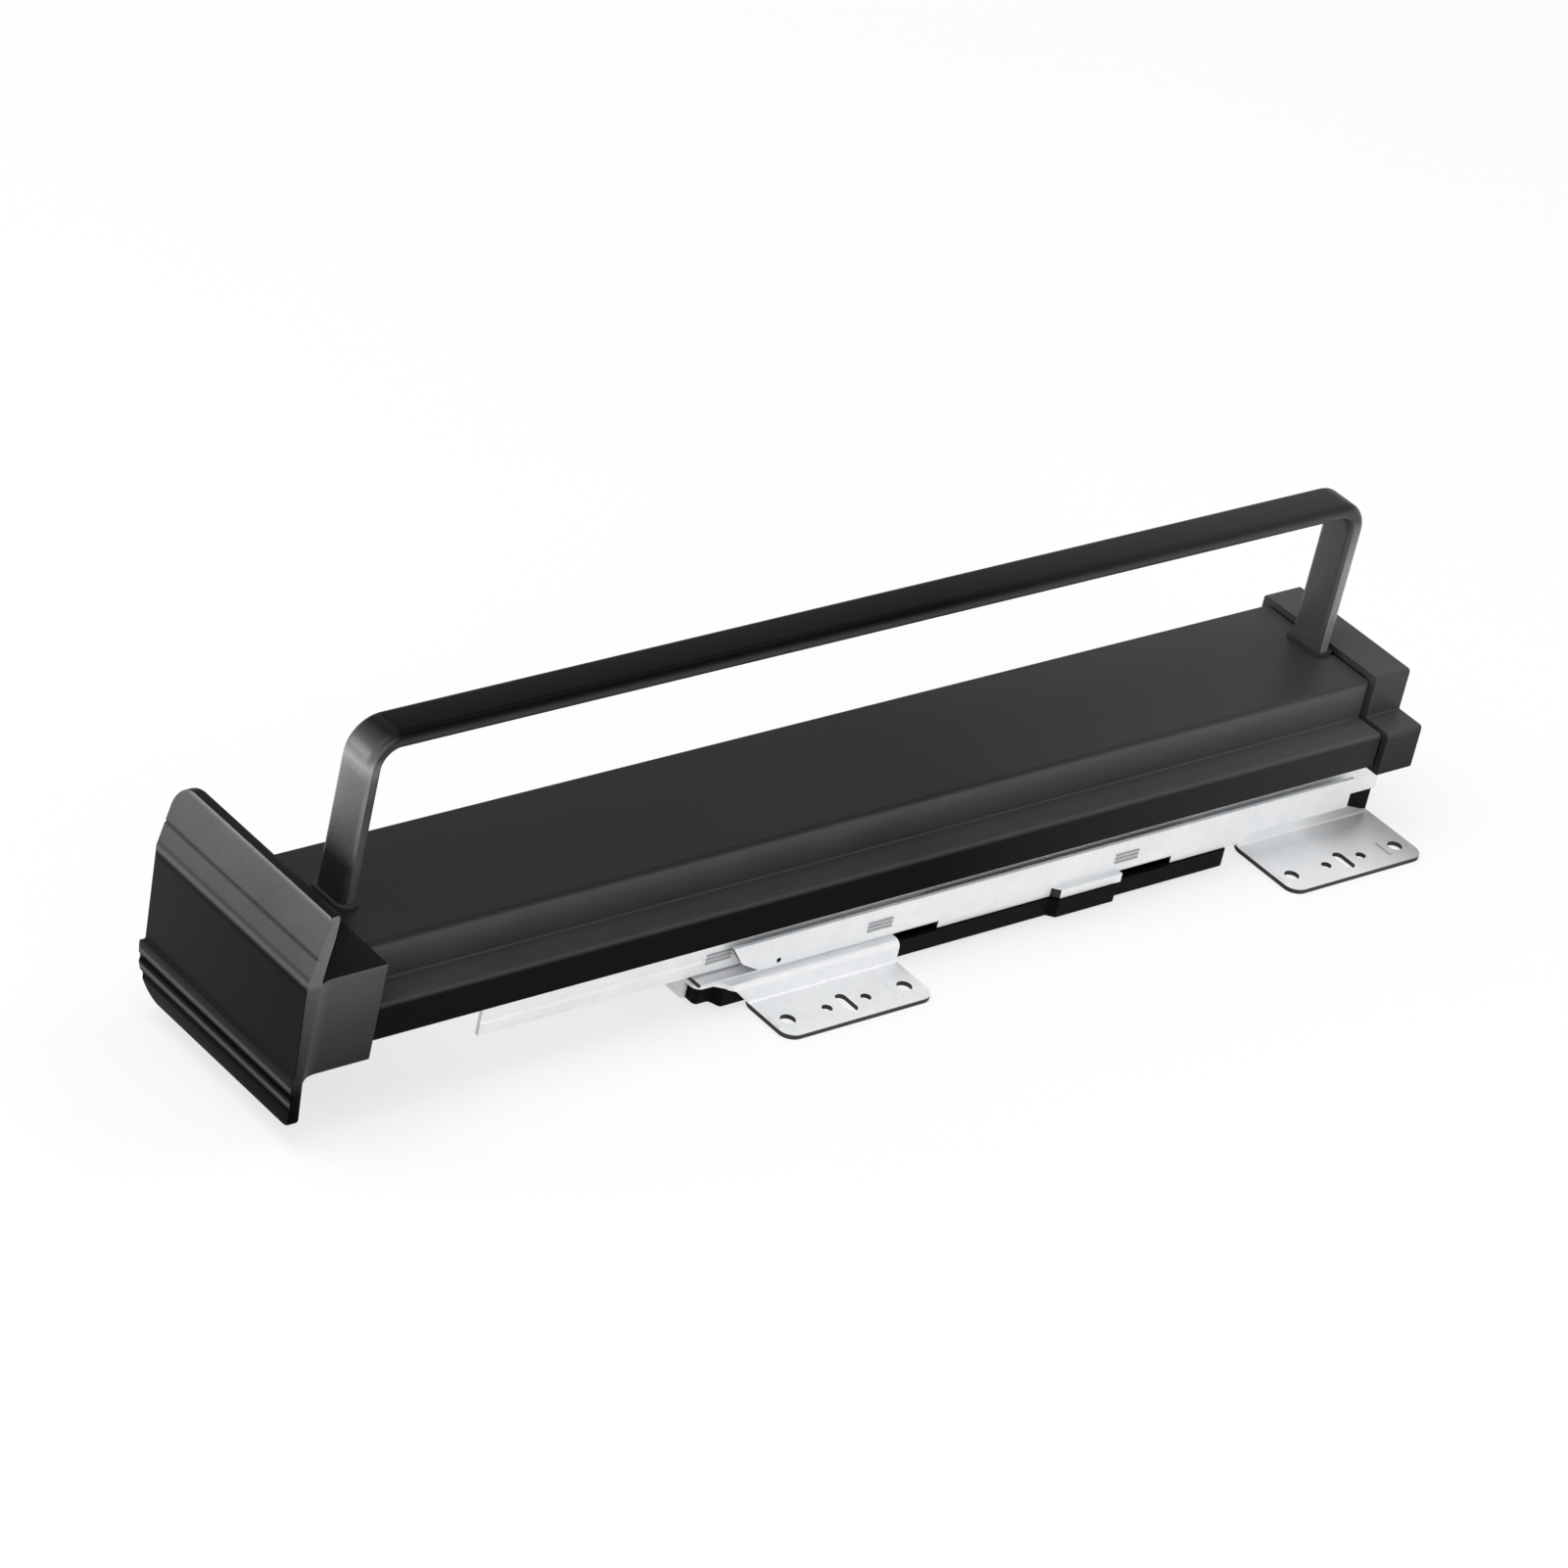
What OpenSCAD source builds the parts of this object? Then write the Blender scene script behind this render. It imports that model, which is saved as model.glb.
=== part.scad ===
// Sliding closet rod: a hanging bar on a black channel that rolls out on ball rails from two
// screwed plates. It is drawn standing on the plates with the bar up; in use it hangs turned over.
// The origin is the centre of the front plate's four main screws, on its mounting face.
// X runs across, -Y is the way the rod pulls out, +Z leaves the mounting face. Sizes are millimetres.

/* [Mounting plates] */
// Sheet thickness of the two plates
plate_t = 1.6; // [1.2:0.1:2]
// Length of each plate along the rail
plate_len = 61; // [58:1:70]
// Distance between the centres of the two plates
plate_pitch = 218; // [212:1:222]
// Width of the front plate's flanges beside its legs
flange_w = 20.5; // [19:0.5:26]
// How far the rear plate's legs stand inside the front plate's
leg_set_in = 8.5; // [7:0.1:9]
// Length of the front plate's tongue ahead of its flanges
front_tongue = 18.5; // [14:0.5:22]
// Length cut off the rear end of the rear plate's bridge
rear_cut = 15.5; // [12:0.5:17]
// Distance from a flange's outer edge to its row of screw holes
hole_edge = 8.5; // [8:0.5:10]
// Distance from a plate's ends to its main screw holes
main_edge = 6.5; // [6:0.5:9]
// Diameter of the main screw holes
main_d = 5.2; // [4.5:0.1:6]
// Half the distance between the small screw holes of a row
small_dy = 8; // [7:0.5:9]
// Diameter of the small screw holes
small_d = 3.6; // [3:0.1:4]
// Length of the adjustment slot across the rail
slot_len = 9.6; // [8:0.2:11]
// Width of the adjustment slot
slot_w = 4; // [3:0.1:4.5]
// Radius of the flanges' outer corners
flange_r = 5; // [3:0.5:7]

/* [Rails] */
// Sheet thickness of the rails
rail_t = 1.5; // [1.3:0.1:1.6]
// Half the width of the fixed and the inner rail
rail_half = 31; // [30.5:0.1:31.5]
// Height of the side walls of the fixed rail
fixed_h = 12.3; // [11:0.1:13]
// Distance from the fixed rail's rear end to the end of the rear plate's bridge
rail_short = 2; // [1.5:0.5:4]
// Length of the middle rail
middle_len = 381; // [376:1:386]
// Height of each half of the middle rail
middle_h = 13.6; // [13:0.1:14.5]
// Distance from the housing's front end to the inner rail
inner_inset = 19; // [12:1:24]
// Distance from the inner rail to the housing's rear end
inner_rear_inset = 13.6; // [12:0.2:20]
// Diameter of the balls
ball_d = 3.4; // [3.2:0.05:3.5]
// Space across between two rails, where the balls run
race_gap = 2.9; // [2.7:0.05:3]
// Balls in each retainer strip
ball_count = 6; // [4:1:8]
// Length of a ball retainer strip
cage_len = 110; // [90:1:120]
// Full travel of the hanging bar
travel = 300; // [260:2:300]

/* [Channel housing] */
// Front end of the housing, ahead of the origin
housing_front = 184; // [182:0.5:186]
// Length of the housing profile
housing_len = 414.6; // [412:0.2:416]
// Wall thickness of the housing profile
housing_wall = 2; // [1.6:0.1:2.2]
// Space between the inner rail and the channel's side walls
channel_play = 4.1; // [3.5:0.1:6]
// Distance from the channel's side to the side of the closed box
box_set_in = 11.4; // [10:0.2:12]
// Height of the closed box
box_h = 14.2; // [12:0.2:18]
// Depth of the open channel below the divider
channel_drop = 10.6; // [10:0.1:12]
// Radius of the profile's outer corners
profile_r = 1.2; // [0.6:0.1:1.8]

/* [Hanging bar] */
// Rise of the bar above the housing
bar_rise = 59.3; // [50:0.5:80]
// Width of the flat tube
bar_w = 14; // [13:0.5:16]
// Thickness of the flat tube
bar_t = 6; // [5.5:0.1:6.4]
// Edge radius of the flat tube
bar_edge_r = 2.4; // [1.5:0.1:2.6]
// Outer radius of the two bends
bar_bend = 12; // [10:0.5:16]
// Wall of the flat tube
bar_wall = 1.2; // [0.8:0.1:1.4]
// Distance from the housing's front end to the front leg
bar_inset = 4.4; // [4.2:0.1:6]
// Distance from the rear leg to the housing's rear end
bar_rear_inset = 1; // [0.8:0.1:1.4]

/* [Front panel] */
// Depth of the moulding from its front plane to the housing
panel_depth = 29; // [26:0.5:34]
// How far the front plate stands out beside the channel
panel_over = 2.2; // [1.5:0.1:4]
// Top edge of the front plate above the housing roof
panel_rise = 25; // [20:0.5:30]
// Lower edge of the front plate above the mounting face
panel_low = 7.9; // [6:0.1:9]
// Radius of the plate's rounded far corners
panel_r = 12; // [8:0.5:14]
// Wall of the moulding's hollow block
block_wall = 2.5; // [2:0.1:3]

/* [Rear cap] */
// Length of the cap along the rail
cap_len = 14.8; // [13:0.2:16]
// Gap between housing and cap
cap_gap = 1.6; // [1:0.1:2]
// How far the cap stands proud of the housing
cap_proud = 2.4; // [1.6:0.1:3]
// Wall of the cap
cap_wall = 2.2; // [1.8:0.1:2.6]

/* [Soft closing unit] */
// Distance from the damper tray to the rear plate
tray_end_gap = 11.5; // [8:0.5:20]
// How far the tray stands out beside the fixed rail
tray_over = 1; // [0.5:0.1:1.2]
// Thickness of the tray's floor
tray_floor = 1.2; // [1:0.1:1.6]
// Wall of the tray
tray_wall = 2; // [1.5:0.1:2.4]
// Diameter of the damper cylinder
cylinder_d = 5.4; // [5:0.1:5.6]
// Length of the damper cylinder
cylinder_len = 55; // [50:1:60]
// Diameter of the damper rod
rod_d = 2; // [1.5:0.1:2.4]
// Turns of the closing spring
spring_turns = 18; // [12:1:22]
// Outer diameter of the closing spring
spring_d = 4.8; // [4.4:0.1:5]
// Wire of the closing spring
spring_wire = 0.7; // [0.5:0.05:0.8]
// Diameter of the striker pin
striker_d = 5; // [4:0.1:5.4]

/* [Hidden] */

// Paint and metal colours
zinc_colour = [0.74, 0.75, 0.76];
bright_colour = [0.85, 0.86, 0.87];
black_colour = [0.16, 0.16, 0.17];
plastic_colour = [0.11, 0.11, 0.12];
rubber_colour = [0.20, 0.20, 0.20];
brass_colour = [0.72, 0.62, 0.38];

// How far cutting solids run past what they cut
overrun = 1;
// Clearance around a shaft in its hole, on the radius
shaft_play = 0.05;
bore_play = 2 * shaft_play;
// Clearance between pieces that slide
slide_play = 0.5;
// Clearance between fixed pieces that lie beside each other
fit_play = 0.1;
// Segments in a rounded corner of a profile
corner_steps = 4;
wide_steps = 12;
wide_corner = 4.5;
// Facets of bores and shafts, of bends, of balls and of hexagons
round_fn = 32;
bend_fn = 64;
ball_fn = 16;

// Heights, stacked from the mounting face to the bar
tray_low = 1;
floor_top = tray_low + tray_floor;
unit_z = floor_top + fit_play + cylinder_d / 2;
unit_gap = 1.5;
bridge_top = unit_z + cylinder_d / 2 + unit_gap;
bridge_low = bridge_top - plate_t;
rim_gap = 0.4;
tray_rim = bridge_low - rim_gap;
fixed_web_top = bridge_top + rail_t;
web_gap = 0.7;
middle_low = fixed_web_top + web_gap;
middle_joint = middle_low + middle_h;
upper_drop = 0.3;
middle_top = middle_joint + middle_h - upper_drop;
lid_gap = 0.9;
inner_web_low = middle_top + lid_gap;
divider_low = inner_web_low + rail_t;
step_z = divider_low + housing_wall;
roof_z = step_z + box_h;
roof_low = roof_z - housing_wall;
channel_low = divider_low - channel_drop;
bar_top = roof_z + bar_rise;
bar_foot_gap = 0.3;
bar_foot = step_z + bar_foot_gap;
race_rise = 5.85;
lower_race_z = fixed_web_top + race_rise;
race_drop = 6.15;
upper_race_z = divider_low - race_drop;

// Widths across the rails
middle_half = rail_half - rail_t - race_gap;
middle_inside = middle_half - rail_t;
race_x = rail_half - rail_t - race_gap / 2;
groove_play = 0.12;
groove_d = ball_d + groove_play;
channel_half = rail_half + channel_play + housing_wall;
box_half = channel_half - box_set_in;
panel_half = channel_half + panel_over;
tray_half = rail_half + tray_over;
leg_gap = 0.9;
front_leg_half = tray_half + leg_gap + plate_t;
rear_leg_half = front_leg_half - leg_set_in;
flange_half = front_leg_half + flange_w;
hole_x = flange_half - hole_edge;
main_dy = plate_len / 2 - main_edge;

// Places along the rails
fixed_front = -plate_len / 2 - front_tongue;
fixed_rear = plate_pitch + plate_len / 2 - rear_cut - rail_short;
middle_rear = plate_pitch + plate_len / 2 - slide_play;
middle_front = middle_rear - middle_len;
housing_rear = housing_len - housing_front;
inner_front = inner_inset - housing_front;
inner_rear = housing_rear - inner_rear_inset;
cap_front = housing_rear + cap_gap;
cap_rear = cap_front + cap_len;
panel_front = -housing_front - panel_depth;
bar_front = bar_inset - housing_front;
bar_rear = housing_rear - bar_rear_inset;
half_travel = travel / 2;
lip_gap = 0.3;
tray_front = fixed_front + plate_t + lip_gap;
tray_rear = plate_pitch - plate_len / 2 - tray_end_gap;

// Each ball strip stands in the middle of its rails' overlap when the bar is fully out
lower_cage_y = (fixed_front + middle_rear - half_travel) / 2 + half_travel / 2;
upper_cage_y = (middle_front + inner_rear - half_travel - travel) / 2 + travel - half_travel / 2;

// Stops: tabs bent out of the rails, which meet at full travel
tab_t = rail_t;
tab_half = 8;
tab_in = 5;
tab_out = 9;
tab_h = 6.3;
upper_tab_h = 9.5;
window_len = 9;
home_tab_inset = 17;
inner_tab_inset = 2.5;
middle_tab_y = middle_rear - home_tab_inset;
fixed_tab_y = middle_tab_y - half_travel - slide_play - tab_t;
inner_tab_y = inner_rear - inner_tab_inset;
upper_tab_y = inner_tab_y - half_travel - slide_play - tab_t;

// Soft closing unit
tray_rear_r = 2;
jog = 2.4;
jog_start = 66;
jog_len = 30;
jog_from = plate_len / 2 + jog_start;
jog_to = jog_from + jog_len;
unit_x = 12;
catch_play = 0.1;
striker_inset = 14;
striker_y = tray_rear - striker_inset;
striker_room = 0.8;
slot_half = striker_d / 2 + striker_room;
slot_front = striker_y - half_travel - striker_d;
slot_rear = striker_y + striker_d;
prong_ahead = 8;
catch_front_y = striker_y - prong_ahead;
pusher_y = striker_y + striker_d / 2 + catch_play;
pusher_len = 6;
cylinder_ahead = 82;
cylinder_y = catch_front_y - cylinder_ahead;
spring_ahead = 64;
spring_y = catch_front_y - spring_ahead;
boss_d = 8;
boss_inset = 9;
boss_rear_inset = 22;
tray_screw_d = 2.8;
tray_head_h = 0.9;
front_boss_x = 20;
rear_boss_x = 22.6;
front_boss = [front_boss_x, fixed_front + boss_inset];
rear_boss = [rear_boss_x, tray_rear - boss_rear_inset];

// Fasteners
rivet_d = 4;
rivet_head_d = 7;
rivet_head_h = 1;
rivet_x = 20;
rivet_dy = 20;
rear_rivet_x = 18;
rear_rivet_dy = 16;
rear_rivet_y = plate_pitch - rear_cut / 2;
middle_rivet_x = 15;
middle_rivet_d = 3;
middle_rivet_head_d = 6;
middle_rivet_inset = 20;
middle_rivet_count = 5;
rail_screw_d = 4;
rail_screw_x = 15;
rail_screw_inset = 30;
rail_screw_count = 4;
screw_head_d = 7;
screw_head_h = 2;
small_head_d = 6;
screw_out = 3;
bar_screw_d = 5;
bar_thread_d = 4.2;
bar_thread_len = 10;
panel_screw_d = 3.5;
panel_screw_x = 16.7;
panel_screw_out = 8;
end_screw_inset = 7.4;

// Stop behind the fixed rail
stop_screw_x = 8;
stop_screw_inset = 8;
stop_tongue_h = 2.6;
stop_gap = 2;
lug_below = 2.4;
lug_front = middle_tab_y + tab_t + slide_play + stop_gap;
lug_top = middle_joint - rail_t - lug_below;
buffer_d = 6.6;
buffer_stem_d = 3;
buffer_drop = 3.6;
buffer_z = lug_top - buffer_drop;

// Front moulding: heights of its crease, lip and block
block_low_rise = 15.4;
lip_rise = 17;
crease_rise = 2.6;
block_over = 0.9;
panel_top = roof_z + panel_rise;
crease_z = roof_z + crease_rise;
lip_z = panel_low + lip_rise;
block_low = panel_low + block_low_rise;
block_top = roof_z + block_over;

// Grommets and bar feet
grommet_wall = 1;
grommet_r = 3;
bar_plug_len = 14;

function xy(p) = [p[0], p[1]];
function unit(v) = v / norm(v);

// Points of one corner b between a and c, rounded to radius r
function corner(a, b, c, r) = r <= 0 ? [b] :
    let (u = unit(a - b), v = unit(c - b), half = acos(u * v) / 2,
         centre = b + unit(u + v) * r / sin(half),
         start = b + u * r / tan(half) - centre,
         turn = (u.x * v.y - u.y * v.x > 0 ? -1 : 1) * (180 - 2 * half),
         first = atan2(start.y, start.x), steps = r > wide_corner ? wide_steps : corner_steps)
    [for (i = [0:steps]) centre + r * [cos(first + turn * i / steps), sin(first + turn * i / steps)]];

// Outline from a list of [x, y, radius]
function rounded(p) = let (n = len(p))
    [for (i = [0:n - 1]) each corner(xy(p[(i + n - 1) % n]), xy(p[i]), xy(p[(i + 1) % n]), p[i][2])];

function mirrored(p) = concat(p, [for (i = [len(p) - 1:-1:0]) [-p[i][0], p[i][1], p[i][2]]]);

// A section in x and z, drawn out along y
module along_y(from, to) {
    translate([0, to, 0]) rotate([90, 0, 0]) linear_extrude(to - from) children();
}

// An outline in y and z, drawn out along x
module along_x(from, to) {
    translate([from, 0, 0]) rotate([90, 0, 90]) linear_extrude(to - from) children();
}

// An outline in x and y, drawn out along z
module along_z(from, to) {
    translate([0, 0, from]) linear_extrude(to - from) children();
}

module both_sides() {
    children();
    mirror([1, 0, 0]) children();
}

module box(low, high) {
    translate(low) cube(high - low);
}

module rod(d, from, to) {
    translate([0, 0, from]) cylinder(d = d, h = to - from, $fn = round_fn);
}

// Turns what is drawn along z to lie along y, with z = 0 at the point p
module facing_y(p) {
    translate(p) rotate([-90, 0, 0]) children();
}

module rounded_rect(w, h, r) {
    polygon(rounded(mirrored([[w / 2, -h / 2, r], [w / 2, h / 2, r]])));
}

// Rail section: a web with two side walls, opening upwards from z = 0
module c_section(half, h) {
    inner_r = 0.4 * rail_t;
    polygon(rounded([[-half, h, 0], [-half, 0, rail_t], [half, 0, rail_t], [half, h, 0],
                     [half - rail_t, h, inner_r], [half - rail_t, rail_t, inner_r],
                     [rail_t - half, rail_t, inner_r], [rail_t - half, h, inner_r]]));
}

// The ball races at both sides, cut from a rail section
module races(z) {
    for (side = [-1, 1]) translate([side * race_x, z]) circle(d = groove_d, $fn = round_fn);
}

// Three short ribs pressed out of a rail's side
module pressed_ribs(x, y, z) {
    rib_len = 10;
    rib_h = 0.7;
    rib_step = 1.4;
    rib_proud = 0.4;
    for (i = [-1:1])
        box([x - rib_proud, y - rib_len / 2, z + i * rib_step - rib_h / 2],
            [x + rib_proud, y + rib_len / 2, z + i * rib_step + rib_h / 2]);
}

// Rivet through sheets that lie between z = low and z = high
module rivet(d, head_d, low, high) {
    head_r = head_d / 2;
    crown_r = 0.7 * head_r;
    rotate_extrude($fn = round_fn) polygon([
        [0, low - rivet_head_h], [crown_r, low - rivet_head_h], [head_r, low - rivet_head_h / 2],
        [head_r, low], [d / 2, low], [d / 2, high], [head_r, high],
        [head_r, high + rivet_head_h / 2], [crown_r, high + rivet_head_h], [0, high + rivet_head_h]]);
}

// Crossed recess in a screw head whose top is at z = from, cut upwards to z = to
module cross_recess(head_d, from, to) {
    recess_w = 0.16 * head_d;
    recess_half = 0.3 * head_d;
    for (turn = [0, 90]) rotate(turn)
        box([-recess_half, -recess_w / 2, from - overrun], [recess_half, recess_w / 2, to]);
}

// Pan head screw pointing up, its head under z = seat, its tip at z = tip
module pan_screw(d, head_d, seat, tip) {
    crown_r = 0.38 * head_d;
    tip_h = d / 3;
    recess_h = 0.6 * screw_head_h;
    difference() {
        rotate_extrude($fn = round_fn) polygon([
            [0, seat - screw_head_h], [crown_r, seat - screw_head_h],
            [head_d / 2, seat - screw_head_h / 2], [head_d / 2, seat], [d / 2, seat],
            [d / 2, tip - tip_h], [d / 4, tip], [0, tip]]);
        cross_recess(head_d, seat - screw_head_h, seat - screw_head_h + recess_h);
    }
}

// Places of the rivets of both plates
function rivet_places() = [for (sx = [-1, 1]) for (sy = [-1, 1]) each [
    [sx * rivet_x, sy * rivet_dy], [sx * rear_rivet_x, rear_rivet_y + sy * rear_rivet_dy]]];

module rivet_holes(d, from, to) {
    for (p = rivet_places()) translate(p) rod(d + bore_play, from - overrun, to + overrun);
}

// Bent plate section: bridge, two legs and two flanges
module hat_section(leg_half) {
    bend_out = 1.5 * plate_t;
    bend_in = bend_out - plate_t;
    polygon(rounded(mirrored([
        [flange_half, 0, 0], [flange_half, plate_t, 0], [leg_half, plate_t, bend_in],
        [leg_half, bridge_top, bend_out]])
    ));
}

// What the hat section leaves open under the bridge
module hat_inside(leg_half) {
    bend_out = 1.5 * plate_t;
    bend_in = bend_out - plate_t;
    inside = leg_half - plate_t;
    flare = 2 * overrun;
    polygon(rounded([[-inside - flare, -flare, 0], [inside + flare, -flare, 0],
                     [inside + flare, 0, 0], [inside, 0, bend_out],
                     [inside, bridge_low, bend_in], [-inside, bridge_low, bend_in],
                     [-inside, 0, bend_out], [-inside - flare, 0, 0]]));
}

module plate_hole(d, x, y) {
    translate([x, y, 0]) rod(d, -overrun, plate_t + overrun);
}

module screw_holes() {
    slot_reach = (slot_len - slot_w) / 2;
    both_sides() {
        for (side = [-1, 1]) {
            plate_hole(main_d, hole_x, side * main_dy);
            plate_hole(small_d, hole_x, side * small_dy);
            plate_hole(slot_w, hole_x + side * slot_reach, 0);
        }
        box([hole_x - slot_reach, -slot_w / 2, -overrun],
            [hole_x + slot_reach, slot_w / 2, plate_t + overrun]);
    }
}

// Short beads pressed up beside the main holes, which stiffen the flange
module flange_beads() {
    bead_len = 7;
    bead_w = 1.3;
    bead_h = 0.5;
    bead_dy = 5;
    both_sides() for (side = [-1, 1]) translate([hole_x, side * main_dy - bead_dy, 0])
        box([-bead_len / 2, -bead_w / 2, plate_t / 2], [bead_len / 2, bead_w / 2, plate_t + bead_h]);
}

module bracket(leg_half, from, to, side_outline, plan_outline) {
    difference() {
        intersection() {
            along_y(from, to) hat_section(leg_half);
            along_x(-flange_half - overrun, flange_half + overrun) polygon(side_outline);
            along_z(-overrun, bridge_top + overrun) polygon(plan_outline);
        }
        along_y(from - overrun, to + overrun) hat_inside(leg_half);
        screw_holes();
    }
    flange_beads();
}

// Slot for the striker, through whatever lies between z = from and z = to
module striker_slot(from, to) {
    box([-slot_half, slot_front, from], [slot_half, slot_rear, to]);
}

// Front plate: its bridge reaches forward under the rail's end, with a lip bent down in front of the tray
module front_bracket() {
    end = plate_len / 2;
    slope = 6;
    slope_start = 5;
    tongue_half = 29.4;
    tongue_cut = 7;
    tongue_r = 3;
    shoulder_r = 2;
    tongue_low = bridge_low - slide_play / 2;
    lip_half = 23.6;
    lip_low = 1.2;
    lip_bend = 0.8;
    side = [[-end, -overrun], [end, -overrun], [end, bridge_top + overrun],
            [fixed_front + lip_bend, bridge_top + overrun], [fixed_front + lip_bend, bridge_top],
            [fixed_front, bridge_top - lip_bend], [fixed_front, tongue_low],
            [-end - slope, tongue_low], [-end, plate_t], [-end, -overrun]];
    plan = rounded(mirrored([
        [tongue_half, fixed_front, tongue_r], [tongue_half, fixed_front + tongue_cut, shoulder_r],
        [front_leg_half + overrun, -end - slope_start, 0], [front_leg_half + overrun, -end, 0],
        [flange_half, -end, flange_r], [flange_half, end, flange_r]]));
    color(zinc_colour) difference() {
        union() {
            bracket(front_leg_half, fixed_front, end, side, plan);
            box([-lip_half, fixed_front, lip_low], [lip_half, fixed_front + plate_t, bridge_top - lip_bend]);
        }
        rivet_holes(rivet_d, bridge_low, bridge_top);
        both_sides() translate(front_boss)
            rod(tray_screw_d + bore_play, bridge_low - overrun, bridge_top + overrun);
        striker_slot(bridge_low - overrun, bridge_top + overrun);
    }
}

// Rear plate: narrow legs, cut at a slant behind the end of the rail
module rear_bracket() {
    end = plate_len / 2;
    side = [[-end, -overrun], [end, -overrun], [end, plate_t],
            [end - rear_cut, bridge_low], [end - rear_cut, bridge_top + overrun],
            [-end, bridge_top + overrun]];
    plan = rounded(mirrored([[flange_half, -end, flange_r], [flange_half, end, flange_r]]));
    color(zinc_colour) difference() {
        translate([0, plate_pitch, 0]) bracket(rear_leg_half, -end, end, side, plan);
        rivet_holes(rivet_d, bridge_low, bridge_top);
        stop_screw_places() rod(panel_screw_d + bore_play, bridge_low - overrun, bridge_top + overrun);
    }
}

module bracket_rivets() {
    color(bright_colour) for (p = rivet_places()) translate(p)
        rivet(rivet_d, rivet_head_d, bridge_low, fixed_web_top);
}

// Fixed rail: side walls cut back at a slant in front, a notched skirt over the tray behind
module fixed_rail() {
    skirt_start = 18.5;
    skirt_end = 2.5;
    skirt_gap = 0.3;
    skirt_from = plate_len / 2 + skirt_start;
    skirt_to = plate_pitch - plate_len / 2 - skirt_end;
    notch_len = 24;
    notch_to = jog_to + notch_len;
    skirt_low = tray_rim + skirt_gap;
    top = bridge_top + fixed_h;
    cut_top = 10;
    cut_mid = 15.5;
    cut_low = 23;
    cut_rise = 4;
    cut_r = 6;
    eye_d = 1.8;
    eye_inset = 31;
    eye_rise = 1.6;
    rib_drop = 1.2;
    front_rib_y = 23;
    rear_rib_y = 129;
    color(zinc_colour) difference() {
        union() {
            along_y(fixed_front, fixed_rear) translate([0, bridge_top]) c_section(rail_half, fixed_h);
            both_sides() for (y = [[skirt_from, jog_from + jog], [notch_to, skirt_to]])
                box([rail_half - rail_t, y[0], skirt_low], [rail_half, y[1], fixed_web_top]);
            // The ear that the skirt makes round the tray's wider part
            both_sides() {
                box([rail_half - rail_t, jog_from + jog, bridge_top],
                    [rail_half + jog - rail_t, jog_to, fixed_web_top]);
                along_z(skirt_low, fixed_web_top) polygon([
                    [rail_half - rail_t, jog_from + jog - rail_t], [rail_half - rail_t, jog_from + jog],
                    [rail_half + jog - rail_t, jog_from + 2 * jog], [rail_half + jog - rail_t, jog_to],
                    [rail_half + jog, jog_to], [rail_half + jog, jog_from + 2 * jog - rail_t],
                    [rail_half, jog_from + jog - rail_t]]);
            }
            both_sides() box([tab_in, fixed_tab_y, bridge_top + rail_t / 2],
                             [tab_out, fixed_tab_y + tab_t, fixed_web_top + tab_h]);
            both_sides() for (y = [front_rib_y, rear_rib_y])
                pressed_ribs(rail_half, y, lower_race_z - rib_drop);
        }
        along_y(fixed_front - overrun, fixed_rear + overrun) races(lower_race_z);
        along_x(-rail_half - overrun, rail_half + overrun) polygon(rounded([
            [fixed_front - overrun, fixed_web_top, 0], [fixed_front + cut_low, fixed_web_top, 0],
            [fixed_front + cut_mid, fixed_web_top + cut_rise, cut_r],
            [fixed_front + cut_top, top + overrun, 0], [fixed_front - overrun, top + overrun, 0]]));
        striker_slot(bridge_top - overrun, fixed_web_top + overrun);
        both_sides() box([tab_in, fixed_tab_y - window_len, bridge_top - overrun],
                         [tab_out, fixed_tab_y, fixed_web_top + overrun]);
        both_sides() translate([rail_half, fixed_front + eye_inset, fixed_web_top + eye_rise])
            rotate([0, 90, 0]) rod(eye_d, -rail_t - overrun, overrun);
        rivet_holes(rivet_d, bridge_top, fixed_web_top);
        both_sides() for (p = [front_boss, rear_boss]) translate(p)
            rod(tray_screw_d + bore_play, bridge_top - overrun, fixed_web_top + overrun);
        stop_screw_places() rod(panel_screw_d + bore_play, bridge_top - overrun, fixed_web_top + overrun);
    }
}

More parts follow.
